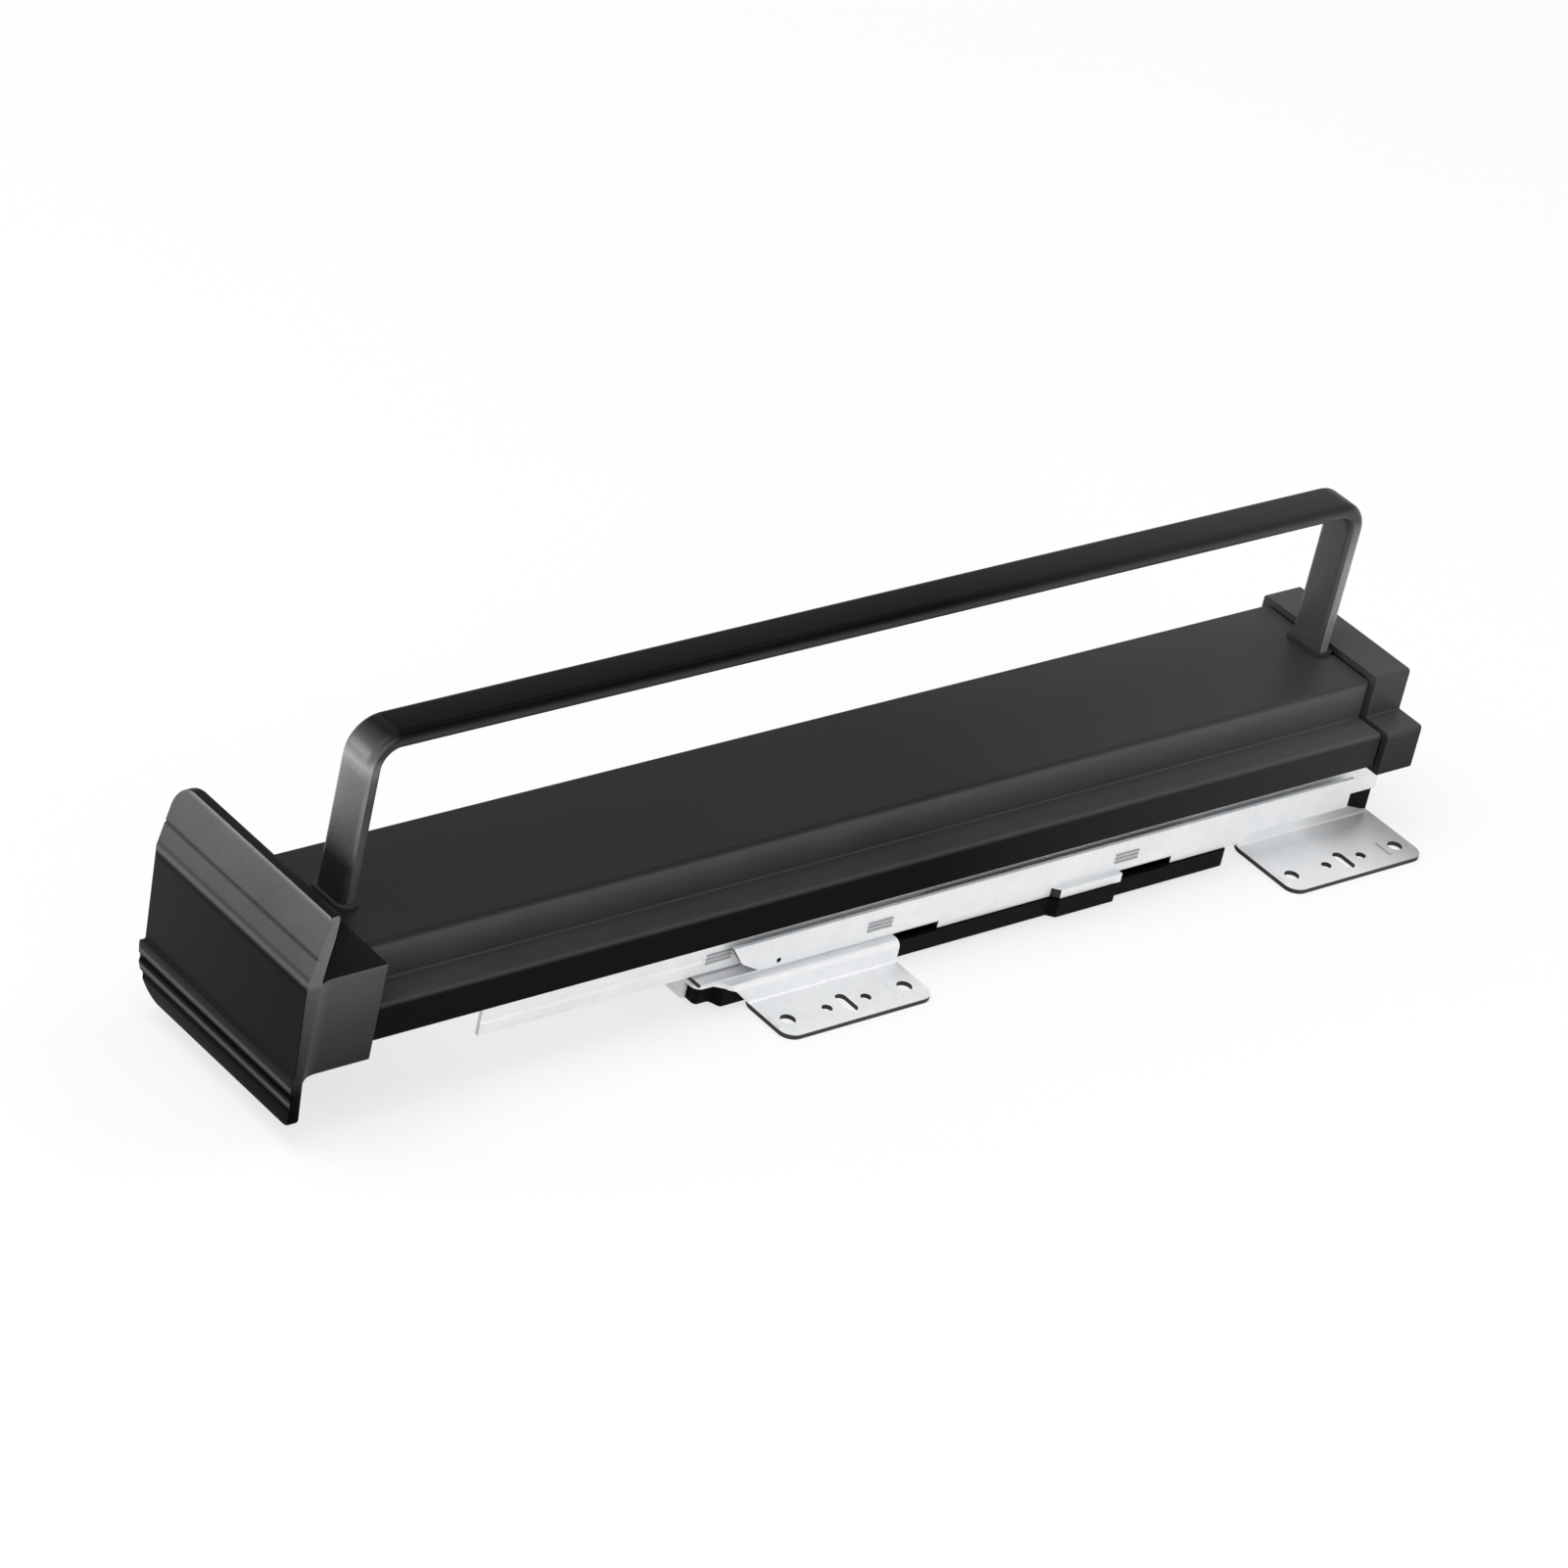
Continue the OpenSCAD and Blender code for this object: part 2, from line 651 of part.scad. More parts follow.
// Damper tray: a shallow moulding under the fixed rail, open towards it, narrower in front
module damper_tray() {
    nose_half = 28;
    nose_len = 5.6;
    nose_r = 1.5;
    rib_t = 1.4;
    rib_first = 19;
    rib_step = 20;
    rib_count = 4;
    rib_drop = 1.6;
    slot_floor = 0.6;
    guide_gap = 6;
    guide_ahead = 40;
    guide_drop = 1;
    guide_in = unit_x + guide_gap;
    spring_wall_half = 4;
    spring_wall_in = unit_x - spring_wall_half;
    cradle_half = 5;
    cradle_len = 4;
    cradle_front = 6;
    cradle_rear = 10;
    relief_from = 14;
    relief_to = 7;
    relief_half = rivet_head_d / 2 + overrun;
    inner_r = 1;
    throat_rise = 1.2;
    inside = tray_half - tray_wall;
    color(plastic_colour) difference() {
        union() {
            difference() {
                along_z(tray_low, tray_rim) polygon(rounded(mirrored([
                    [nose_half, tray_front, nose_r], [nose_half, tray_front + nose_len, nose_r],
                    [tray_half, tray_front + nose_len + nose_r, nose_r],
                    [tray_half, jog_from, 0], [tray_half + jog, jog_from + jog, 0],
                    [tray_half + jog, jog_to - jog, 0], [tray_half, jog_to, 0],
                    [tray_half, tray_rear, tray_rear_r]])));
                along_z(floor_top, tray_rim + overrun) polygon(rounded(mirrored([
                    [nose_half - tray_wall, tray_front + tray_wall, inner_r],
                    [nose_half - tray_wall, tray_front + nose_len + 2 * tray_wall, inner_r],
                    [inside, tray_front + nose_len + 3 * tray_wall, inner_r],
                    [inside, jog_from + tray_wall, 0], [inside + jog, jog_from + jog + tray_wall, 0],
                    [inside + jog, jog_to - jog - tray_wall, 0], [inside, jog_to - tray_wall, 0],
                    [inside, tray_rear - tray_wall, inner_r]])));
            }
            // Cross ribs of the front half
            for (i = [0:rib_count - 1]) translate([0, tray_front + rib_first + i * rib_step, 0])
                box([-inside - tray_wall / 2, 0, tray_low],
                    [inside + tray_wall / 2, rib_t, tray_rim - rib_drop]);
            // Guide walls along the catch
            both_sides() box([guide_in, spring_y - guide_ahead, tray_low],
                             [guide_in + rib_t, tray_rear - tray_wall / 2, tray_rim - guide_drop]);
            // End wall of the spring
            box([spring_wall_in, spring_y - rib_t, tray_low], [guide_in, spring_y, tray_rim]);
            // Cradles and end wall of the damper
            for (y = [cylinder_y + cradle_front, cylinder_y + cylinder_len - cradle_rear])
                box([-unit_x - cradle_half, y, tray_low], [cradle_half - unit_x, y + cradle_len, unit_z]);
            box([-unit_x - cradle_half, cylinder_y - rib_t - shaft_play, tray_low],
                [cradle_half - unit_x, cylinder_y - shaft_play, tray_rim]);
            both_sides() translate(front_boss) rod(boss_d, tray_low, bridge_low);
            both_sides() translate(rear_boss) rod(boss_d, tray_low, bridge_top);
        }
        facing_y([-unit_x, cylinder_y, unit_z]) rod(cylinder_d + bore_play, 0, cylinder_len);
        both_sides() for (p = [front_boss, rear_boss]) translate(p) {
            rod(tray_screw_d + bore_play, tray_low - overrun, bridge_top + overrun);
            rod(2.2 * tray_screw_d, tray_low - overrun, tray_low + tray_head_h);
        }
        // Path of the striker through the cross ribs, and its throat in the rear wall
        striker_slot(floor_top + slot_floor, tray_rim + overrun);
        box([-striker_d, tray_rear - tray_wall - overrun, floor_top + throat_rise],
            [striker_d, tray_rear + overrun, tray_rim + overrun]);
        // Relief under the rivet heads of the front plate
        for (x = [-rivet_x, rivet_x])
            box([x - relief_half, -rivet_dy - relief_to, floor_top],
                [x + relief_half, relief_from - rivet_dy, tray_rim + overrun]);
    }
}

// Tray screw with a low head in the tray's floor, its tip at z = tip
module tray_screw(tip) {
    head_d = 2 * tray_screw_d;
    recess_h = 0.6 * tray_head_h;
    difference() {
        rotate_extrude($fn = round_fn) polygon([
            [0, tray_low], [head_d / 2, tray_low], [head_d / 2, tray_low + tray_head_h],
            [tray_screw_d / 2, tray_low + tray_head_h], [tray_screw_d / 2, tip], [0, tip]]);
        cross_recess(head_d, tray_low, tray_low + recess_h);
    }
}

module tray_screws() {
    tip_out = 0.4;
    color(bright_colour) both_sides() for (p = [front_boss, rear_boss]) translate(p)
        tray_screw(fixed_web_top + tip_out);
}

module damper_cylinder() {
    nose_len = 3;
    bottom_t = 3;
    nose_from = cylinder_len - nose_len;
    bore_d = 0.7 * cylinder_d;
    color(black_colour) facing_y([-unit_x, cylinder_y, unit_z]) difference() {
        union() {
            rod(cylinder_d, 0, nose_from);
            rod(0.85 * cylinder_d, nose_from, cylinder_len);
        }
        rod(bore_d, bottom_t, nose_from);
        rod(rod_d + bore_play, nose_from - overrun, cylinder_len + overrun);
    }
}

module damper_rod() {
    piston_back = 18;
    piston_from = cylinder_len - piston_back;
    piston_len = 5;
    piston_d = 0.7 * cylinder_d - bore_play;
    rod_in = 2;
    color(bright_colour) facing_y([-unit_x, cylinder_y, unit_z]) {
        rod(rod_d, piston_from, pusher_y - cylinder_y + rod_in);
        rod(piston_d, piston_from, piston_from + piston_len);
    }
}

// Helical compression spring between the tray's end wall and the catch
module closer_spring() {
    sides = 6;
    steps = 14;
    seat = fit_play / 2;
    length = pusher_y - spring_y - spring_wire - fit_play;
    coil_r = (spring_d - spring_wire) / 2;
    count = spring_turns * steps;
    function point(i, j) =
        let (a = 360 * i / steps, b = 360 * j / sides, r = coil_r + spring_wire / 2 * cos(b))
        [r * cos(a), r * sin(a), length * i / count + spring_wire / 2 * sin(b)];
    points = [for (i = [0:count]) for (j = [0:sides - 1]) point(i, j)];
    walls = [for (i = [0:count - 1]) for (j = [0:sides - 1])
        let (k = (j + 1) % sides) each [[i * sides + j, i * sides + k, (i + 1) * sides + k],
                                       [i * sides + j, (i + 1) * sides + k, (i + 1) * sides + j]]];
    ends = [[for (j = [sides - 1:-1:0]) j], [for (j = [0:sides - 1]) count * sides + j]];
    color(bright_colour) facing_y([unit_x, spring_y + spring_wire / 2 + seat, unit_z])
        polyhedron(points, concat(walls, ends));
}

// Catch: a slider behind the striker pin, with two prongs beside the pin
module closer_catch() {
    lift = 0.2;
    low = floor_top + lift;
    top = tray_rim - rim_gap;
    prong_gap = 0.2;
    prong_w = 2.6;
    prong_in = striker_d / 2 + prong_gap;
    prong_out = prong_in + prong_w;
    slider_over = 4;
    nose = 3;
    rod_hole_len = 2.1;
    color(plastic_colour) difference() {
        union() {
            box([-unit_x - slider_over, pusher_y, low], [unit_x + slider_over, pusher_y + pusher_len, top]);
            both_sides() box([prong_in, catch_front_y, low], [prong_out, pusher_y + overrun, top]);
        }
        facing_y([-unit_x, pusher_y, unit_z]) rod(rod_d + bore_play, -overrun, rod_hole_len);
        both_sides() translate([prong_in, catch_front_y, 0]) rotate([0, 0, -35])
            box([-nose, -nose, 0], [0, nose, top + overrun]);
    }
}

module stop_screw_places() {
    both_sides() translate([stop_screw_x, fixed_rear - stop_screw_inset, 0]) children();
}

// Rear stop: a block behind the rear plate's bridge, its tongue screwed down on the rail
module rear_stop() {
    tongue_half = 12;
    tongue_len = 16;
    block_gap = 0.3;
    block_side_gap = 0.4;
    block_rise = 0.3;
    edge_r = 0.5;
    rear_r = 1.5;
    tongue_in = 1;
    pocket_half = 3;
    pocket_x_half = 4.8;
    pocket_roof = 2;
    stem_len = 4;
    block_half = rear_leg_half - plate_t - block_side_gap;
    block_front = plate_pitch + plate_len / 2 - rear_cut + block_gap;
    block_rear = plate_pitch + plate_len / 2;
    stop_top = fixed_web_top + block_rise;
    slant_gap = 1;
    cheek_lap = 1;
    cheek_front = block_rear - rear_cut + slant_gap;
    cheek_low = plate_t + slant_gap * (bridge_low - plate_t) / rear_cut;
    tongue_rear = block_rear - tongue_in;
    pocket_y = (block_front + block_rear) / 2;
    color(plastic_colour) difference() {
        union() {
            along_z(tray_low, stop_top) polygon(rounded(mirrored([
                [block_half, block_front, edge_r], [block_half, block_rear, rear_r]])));
            // Cheeks behind the slanted ends of the plate's legs
            both_sides() along_x(block_half - cheek_lap, rear_leg_half) polygon([
                [cheek_front, stop_top], [cheek_front, bridge_low],
                [block_rear - rear_r, cheek_low + rear_r * (bridge_low - plate_t) / rear_cut],
                [block_rear - rear_r, stop_top]]);
            box([-tongue_half, fixed_rear - tongue_len, fixed_web_top],
                [tongue_half, tongue_rear, fixed_web_top + stop_tongue_h]);
            box([-tongue_half, lug_front, fixed_web_top], [tongue_half, tongue_rear, lug_top]);
        }
        for (side = [-1, 1]) translate([side * block_half / 2, pocket_y, 0])
            box([-pocket_x_half, -pocket_half, 0],
                [pocket_x_half, pocket_half, fixed_web_top - pocket_roof]);
        stop_screw_places() rod(panel_screw_d + bore_play, 0, lug_top);
        facing_y([0, lug_front, buffer_z]) rod(buffer_stem_d + bore_play, -overrun, stem_len);
    }
}

module stop_buffer() {
    stem_len = 3.6;
    color(rubber_colour) facing_y([0, lug_front, buffer_z]) {
        rod(buffer_d, -stop_gap, 0);
        rod(buffer_stem_d, -stop_gap / 2, stem_len);
    }
}

module stop_screws() {
    head_h = 0.8;
    point_out = 1.5;
    head_d = 0.8 * screw_head_d;
    seat = fixed_web_top + stop_tongue_h;
    color(bright_colour) stop_screw_places() rotate_extrude($fn = round_fn) polygon([
        [0, bridge_low - point_out], [panel_screw_d / 2, bridge_low - point_out],
        [panel_screw_d / 2, seat], [head_d / 2, seat], [head_d / 2, seat + head_h], [0, seat + head_h]]);
}

function middle_rivet_places() = [for (i = [0:middle_rivet_count - 1]) for (side = [-1, 1])
    [side * middle_rivet_x, middle_front + middle_rivet_inset
        + i * (middle_len - 2 * middle_rivet_inset) / (middle_rivet_count - 1)]];

stem_dy = 5;
striker_stems = [for (side = [-1, 1]) [0, striker_y + side * stem_dy]];

module middle_holes() {
    for (p = concat(middle_rivet_places(), striker_stems)) translate(p)
        rod(middle_rivet_d + bore_play, middle_joint - rail_t - overrun, middle_joint + rail_t + overrun);
}

// Lower half of the middle rail: runs in the fixed rail and carries the home stop tab
module middle_rail_lower() {
    tab_rise = 3.3;
    rib_inset = 93;
    rib_room = 6;
    rib_y = middle_front + rib_inset;
    color(zinc_colour) difference() {
        union() {
            along_y(middle_front, middle_rear) translate([0, middle_joint]) mirror([0, 1])
                c_section(middle_half, middle_h);
            box([-tab_half, middle_tab_y, fixed_web_top + tab_rise],
                [tab_half, middle_tab_y + tab_t, middle_joint - rail_t / 2]);
            both_sides() pressed_ribs(middle_half, rib_y, lower_race_z);
        }
        difference() {
            along_y(middle_front - overrun, middle_rear + overrun) races(lower_race_z);
            both_sides() box([race_x - ball_d, rib_y - rib_room, 0],
                             [race_x + ball_d, rib_y + rib_room, middle_joint]);
        }
        box([-tab_half, middle_tab_y - window_len, middle_joint - rail_t - overrun],
            [tab_half, middle_tab_y, middle_joint + overrun]);
        middle_holes();
    }
}

// Upper half of the middle rail: carries the inner rail
module middle_rail_upper() {
    color(zinc_colour) difference() {
        union() {
            along_y(middle_front, middle_rear) translate([0, middle_joint])
                c_section(middle_half, middle_top - middle_joint);
            both_sides() box([tab_in, upper_tab_y, middle_joint + rail_t / 2],
                             [tab_out, upper_tab_y + tab_t, middle_joint + rail_t + upper_tab_h]);
        }
        along_y(middle_front - overrun, middle_rear + overrun) races(upper_race_z);
        middle_holes();
    }
}

module middle_rivets() {
    color(bright_colour) for (p = middle_rivet_places()) translate(p)
        rivet(middle_rivet_d, middle_rivet_head_d, middle_joint - rail_t, middle_joint + rail_t);
}

// Striker: a pin that hangs from the middle rail through the slot of the fixed rail
module closer_striker() {
    base_h = 2.6;
    base_w = 12;
    base_len = 18;
    base_r = 3;
    collar_over = 3;
    collar_drop = 4.5;
    pin_gap = 1.4;
    stem_head_d = 5;
    base_top = middle_joint - rail_t;
    base_low = base_top - base_h;
    color(plastic_colour) union() {
        along_z(base_low, base_top) translate([0, striker_y]) rounded_rect(base_w, base_len, base_r);
        translate([0, striker_y, 0]) {
            rod(striker_d, floor_top + pin_gap, base_low + base_h / 2);
            rod(striker_d + collar_over, base_low - collar_drop, base_low + base_h / 2);
        }
        for (p = striker_stems) translate(p) {
            rod(middle_rivet_d, base_low + base_h / 2, middle_joint + rail_t + rivet_head_h / 2);
            rod(stem_head_d, middle_joint + rail_t, middle_joint + rail_t + rivet_head_h);
        }
    }
}

ball_inset = 10;

function ball_places(y) = [for (i = [0:ball_count - 1])
    y - cage_len / 2 + ball_inset + i * (cage_len - 2 * ball_inset) / (ball_count - 1)];

// Retainer strips at both sides, each with a row of ball holes
module ball_cage(y, z) {
    strip_t = 0.8;
    strip_over = 1.6;
    strip_half = ball_d / 2 + strip_over;
    both_sides() difference() {
        box([race_x - strip_t / 2, y - cage_len / 2, z - strip_half],
            [race_x + strip_t / 2, y + cage_len / 2, z + strip_half]);
        for (b = ball_places(y)) translate([race_x, b, z]) rotate([0, 90, 0])
            rod(ball_d + bore_play, -strip_t, strip_t);
    }
}

module balls(y, z) {
    both_sides() for (b = ball_places(y)) translate([race_x, b, z]) sphere(d = ball_d, $fn = ball_fn);
}

module lower_ball_cage() { color(brass_colour) ball_cage(lower_cage_y, lower_race_z); }

module lower_balls() { color(bright_colour) balls(lower_cage_y, lower_race_z); }

module upper_ball_cage() { color(brass_colour) ball_cage(upper_cage_y, upper_race_z); }

module upper_balls() { color(bright_colour) balls(upper_cage_y, upper_race_z); }

function rail_screw_places() = [for (i = [0:rail_screw_count - 1]) for (side = [-1, 1])
    [side * rail_screw_x, inner_front + rail_screw_inset
        + i * (inner_rear - inner_front - 2 * rail_screw_inset) / (rail_screw_count - 1)]];

// Inner rail: opens downwards and is screwed under the housing's divider
module inner_rail() {
    side_h = 9.75;
    color(zinc_colour) difference() {
        union() {
            along_y(inner_front, inner_rear) translate([0, divider_low]) mirror([0, 1])
                c_section(rail_half, side_h);
            both_sides() box([tab_in, inner_tab_y, inner_web_low - tab_h],
                             [tab_out, inner_tab_y + tab_t, divider_low - rail_t / 2]);
        }
        along_y(inner_front - overrun, inner_rear + overrun) races(upper_race_z);
        both_sides() box([tab_in, inner_tab_y - window_len, inner_web_low - overrun],
                         [tab_out, inner_tab_y, divider_low + overrun]);
        for (p = rail_screw_places()) translate(p)
            rod(rail_screw_d + bore_play, inner_web_low - overrun, divider_low + overrun);
    }
}

module inner_rail_screws() {
    color(bright_colour) for (p = rail_screw_places()) translate(p)
        pan_screw(rail_screw_d, screw_head_d, inner_web_low, step_z + screw_out);
}

// Outline of the housing, grown by a margin
foot_r = 0.5;
function housing_outline(grow) = [
    [channel_half + grow, channel_low - grow, foot_r],
    [channel_half + grow, step_z + grow / 2, profile_r],
    [box_half + grow, step_z + grow / 2, profile_r / 2],
    [box_half + grow, roof_z + grow, profile_r]];

// Flat outline of a bar leg grown by a margin, at the leg whose front face is at y
module leg_outline(y, grow, r) {
    translate([0, y + bar_t / 2]) rounded_rect(bar_w + 2 * grow, bar_t + 2 * grow, r);
}

leg_fronts = [bar_front, bar_rear - bar_t];

// Extruded housing: a closed box on top of an open channel
module housing_channel() {
    inner_r = 0.8;
    box_in = box_half - housing_wall;
    channel_in = channel_half - housing_wall;
    notch_half = bar_w / 2 + grommet_wall + bore_play;
    color(black_colour) difference() {
        along_y(-housing_front, housing_rear) difference() {
            polygon(rounded(mirrored(housing_outline(0))));
            polygon(rounded(mirrored([[box_in, step_z, foot_r], [box_in, roof_low, inner_r]])));
            polygon(rounded(mirrored([
                [channel_in, channel_low - overrun, 0], [channel_in, divider_low, inner_r]])));
        }
        for (y = leg_fronts) along_z(roof_low - overrun, roof_z + overrun)
            leg_outline(y, grommet_wall + bore_play, grommet_r);
        box([-notch_half, bar_rear - bar_t, roof_low - overrun],
            [notch_half, housing_rear + overrun, roof_z + overrun]);
        for (y = leg_fronts) translate([0, y + bar_t / 2, 0])
            rod(bar_screw_d + bore_play, divider_low - overrun, step_z + overrun);
        both_sides() for (y = [end_screw_inset - housing_front, housing_rear - end_screw_inset])
            translate([panel_screw_x, y, 0])
                rod(panel_screw_d + bore_play, divider_low - overrun, step_z + overrun);
        for (p = rail_screw_places()) translate(p)
            rod(rail_screw_d + bore_play, divider_low - overrun, step_z + overrun);
    }
}

// Grommet between a bar leg and the roof, with a thin collar on top
module grommet(y) {
    collar_h = 1;
    collar_over = 0.4;
    color(rubber_colour) difference() {
        union() {
            along_z(roof_low, roof_z) leg_outline(y, grommet_wall + shaft_play, grommet_r);
            along_z(roof_z, roof_z + collar_h)
                leg_outline(y, grommet_wall + collar_over, grommet_r + collar_over);
        }
        along_z(roof_low - overrun, roof_z + collar_h + overrun) leg_outline(y, shaft_play, bar_edge_r);
    }
}

module front_grommet() { grommet(leg_fronts[0]); }

module rear_grommet() { grommet(leg_fronts[1]); }

// The bar's flat section, inset all round
module bar_section(inset) {
    rounded_rect(bar_w - 2 * inset, bar_t - 2 * inset, bar_edge_r - 0.8 * inset);
}

// The bar's route: front leg, bend, run, bend, rear leg
module bar_route(inset, foot) {
    mid = bar_t / 2;
    for (y = leg_fronts)
        along_z(foot, bar_top - bar_bend) translate([0, y + mid]) bar_section(inset);
    along_y(bar_front + bar_bend, bar_rear - bar_bend) translate([0, bar_top - mid]) bar_section(inset);
    for (end = [[bar_rear - bar_bend, 0], [bar_front + bar_bend, 1]])
        translate([0, end[0], bar_top - bar_bend]) mirror([0, end[1], 0]) rotate([90, 0, 90])
            rotate_extrude(angle = 90, $fn = bend_fn)
                translate([bar_bend - mid, 0]) rotate(90) bar_section(inset);
}

// Flat tube with a solid threaded plug in each foot
module hanging_bar() {
    plug_roof = 2;
    color(black_colour) difference() {
        bar_route(0, bar_foot);
        bar_route(bar_wall, bar_foot + bar_plug_len);
        for (y = leg_fronts) translate([0, y + bar_t / 2, 0])
            rod(bar_thread_d + bore_play, bar_foot - overrun, bar_foot + bar_plug_len - plug_roof);
    }
}

// Bar screws: a collar in the divider, a thread in the foot of the leg
module bar_screws() {
    crown_r = 0.38 * screw_head_d;
    recess_h = 0.6 * screw_head_h;
    head_low = divider_low - screw_head_h;
    collar_top = step_z + bar_foot_gap / 2;
    color(bright_colour) for (y = leg_fronts) translate([0, y + bar_t / 2, 0]) difference() {
        rotate_extrude($fn = round_fn) polygon([
            [0, head_low], [crown_r, head_low], [screw_head_d / 2, head_low + screw_head_h / 2],
            [screw_head_d / 2, divider_low], [bar_screw_d / 2, divider_low], [bar_screw_d / 2, collar_top],
            [bar_thread_d / 2, collar_top], [bar_thread_d / 2, bar_foot + bar_thread_len],
            [0, bar_foot + bar_thread_len]]);
        cross_recess(screw_head_d, head_low, head_low + recess_h);
    }
}

module end_screws(y) {
    color(bright_colour) both_sides() translate([panel_screw_x, y, 0])
        pan_screw(panel_screw_d, small_head_d, divider_low, step_z + panel_screw_out);
}

module panel_screws() { end_screws(end_screw_inset - housing_front); }

module cap_screws() { end_screws(housing_rear - end_screw_inset); }

// A spigot of the end mouldings inside the closed box, with its screw hole
module spigot(from, to, screw_y) {
    spigot_in = 10;
    hole_top = 9;
    both_sides() difference() {
        box([spigot_in, from, step_z + fit_play],
            [box_half - housing_wall - fit_play, to, roof_low - fit_play]);
        translate([panel_screw_x, screw_y, 0])
            rod(panel_screw_d + bore_play, step_z - overrun, step_z + hole_top);
    }
}

// The front plate's section: a leaning top, a flat middle and a proud lip at the bottom
module plate_section() {
    f = panel_front;
    foot_in = 0.5;
    foot_r = 0.8;
    heel_in = 5.3;
    heel_rise = 0.3;
    heel_r = 1.6;
    plate_in = 3.6;
    ledge = 0.4;
    back_in = 8;
    back_low = 2;
    back_high = 3;
    bend_rise = 1;
    bend_r = 2;
    lean_in = 5.6;
    lean_drop = 1.4;
    lean_r = 0.8;
    brow_in = 2.3;
    brow_r = 0.6;
    fold_out = 2.3;
    fold_r = 1.2;
    lip_start = 1.2;
    lip_out = 1.1;
    lip_r = 0.4;
    polygon(rounded([
        [f + foot_in, panel_low, foot_r], [f + heel_in, panel_low + heel_rise, heel_r],
        [f + plate_in, block_low + ledge, 0], [f + back_in, block_low + back_low, 0],
        [f + back_in, crease_z - back_high, 0], [f + plate_in, crease_z + bend_rise, bend_r],
        [f + lean_in, panel_top - lean_drop, lean_r], [f + brow_in, panel_top, brow_r],
        [f - fold_out, crease_z, fold_r], [f, lip_z + lip_start, 0],
        [f - lip_out, lip_z - lip_r, lip_r]]));
}

// The front plate's outline seen from the front, its far corners rounded
module plate_outline() {
    near_low_r = 2;
    near_top_r = 1;
    lip_wider = 1.2;
    lip_drop = 0.4;
    lip_r = 0.5;
    polygon(rounded([
        [panel_half, panel_low, near_low_r], [panel_half, panel_top, near_top_r],
        [-panel_half, panel_top, panel_r], [-panel_half, lip_z, 0],
        [-panel_half - lip_wider, lip_z - lip_drop, lip_r],
        [-panel_half - lip_wider, panel_low, panel_r]]));
}

// Fine lines: one across the leaning part, two across the lip
module plate_lines() {
    line_d = 1;
    high_in = 0.65;
    high_rise = 7.9;
    low_in = 0.7;
    low_drop = 5.4;
    lowest_drop = 9.5;
    translate([panel_front - high_in, crease_z + high_rise]) circle(d = line_d, $fn = ball_fn);
    for (drop = [low_drop, lowest_drop])
        translate([panel_front - low_in, lip_z - drop]) circle(d = line_d, $fn = ball_fn);
}

// Front moulding: grip plate, and a hollow block that plugs into the closed box
module front_panel() {
    side_over = 3;
    plate_room = 12;
    skin = 3.4;
    slant = 1.6;
    root = 5;
    hollow_from = 6;
    edge_r = 0.8;
    rib_t = 1.6;
    inner_rib_x = 10;
    outer_rib_x = 21.8;
    rib_gap = 0.2;
    rib_in = 1;
    spigot_end = 12.4;
    f = panel_front;
    rear = -housing_front;
    inside = channel_half - block_wall;
    color(black_colour) union() {
        difference() {
            intersection() {
                along_x(-panel_half - side_over, panel_half + side_over) plate_section();
                along_y(f - side_over - overrun, f + plate_room) plate_outline();
            }
            along_x(-panel_half - side_over, panel_half + side_over) plate_lines();
        }
        difference() {
            along_x(-channel_half, channel_half) polygon(rounded([
                [f + skin, block_low - slant, 0], [f + root, block_low, 0], [rear, block_low, edge_r],
                [rear, block_top, edge_r], [f + skin, block_top, 0]]));
            box([-inside, f + hollow_from, block_low + block_wall],
                [inside, rear + overrun, block_top - block_wall]);
        }
        both_sides() for (x = [inner_rib_x, outer_rib_x])
            box([x, f + root, block_low + rib_in], [x + rib_t, rear - rib_gap, block_top - rib_in]);
        spigot(f + root, spigot_end - housing_front, end_screw_inset - housing_front);
    }
}

// Rear cap: a shell around the end of the profile, open below so that the rails pass through
module rear_cap() {
    rail_room = 1.6;
    plug_gap = 0.15;
    neck_in = 1.2;
    neck_lap = 1;
    core_in = 3;
    neck_wall = 4;
    spigot_end = 12.4;
    inner_r = 0.8;
    leg_room = 9;
    leg_cut = 0.5;
    opening_half = middle_half + rail_room;
    plug_half = box_half - housing_wall - plug_gap;
    core_half = box_half - housing_wall - neck_wall;
    color(black_colour) difference() {
        union() {
            difference() {
                along_y(cap_front, cap_rear) polygon(rounded(mirrored(housing_outline(cap_proud))));
                box([cap_wall - box_half, cap_front - overrun, step_z + plug_gap],
                    [box_half - cap_wall, cap_rear - cap_wall, roof_z]);
                both_sides() box([opening_half + cap_wall, cap_front - overrun, channel_low],
                                 [channel_half, cap_rear - cap_wall, step_z - cap_wall]);
            }
            // Neck that bridges the gap and enters the closed box
            difference() {
                along_y(housing_rear - neck_in, cap_front + neck_lap) polygon(rounded(mirrored([
                    [plug_half, step_z + plug_gap, foot_r], [plug_half, roof_low - plug_gap, inner_r]])));
                box([-core_half, housing_rear - core_in, step_z + housing_wall],
                    [core_half, cap_front + neck_lap + overrun, roof_low - housing_wall]);
                box([-leg_room, housing_rear - core_in, step_z - overrun],
                    [leg_room, housing_rear + leg_cut, roof_z]);
            }
            spigot(housing_rear - spigot_end, cap_rear - cap_wall, housing_rear - end_screw_inset);
        }
        box([-opening_half, cap_front - overrun, channel_low - cap_proud - overrun],
            [opening_half, cap_rear + overrun, inner_web_low]);
    }
}

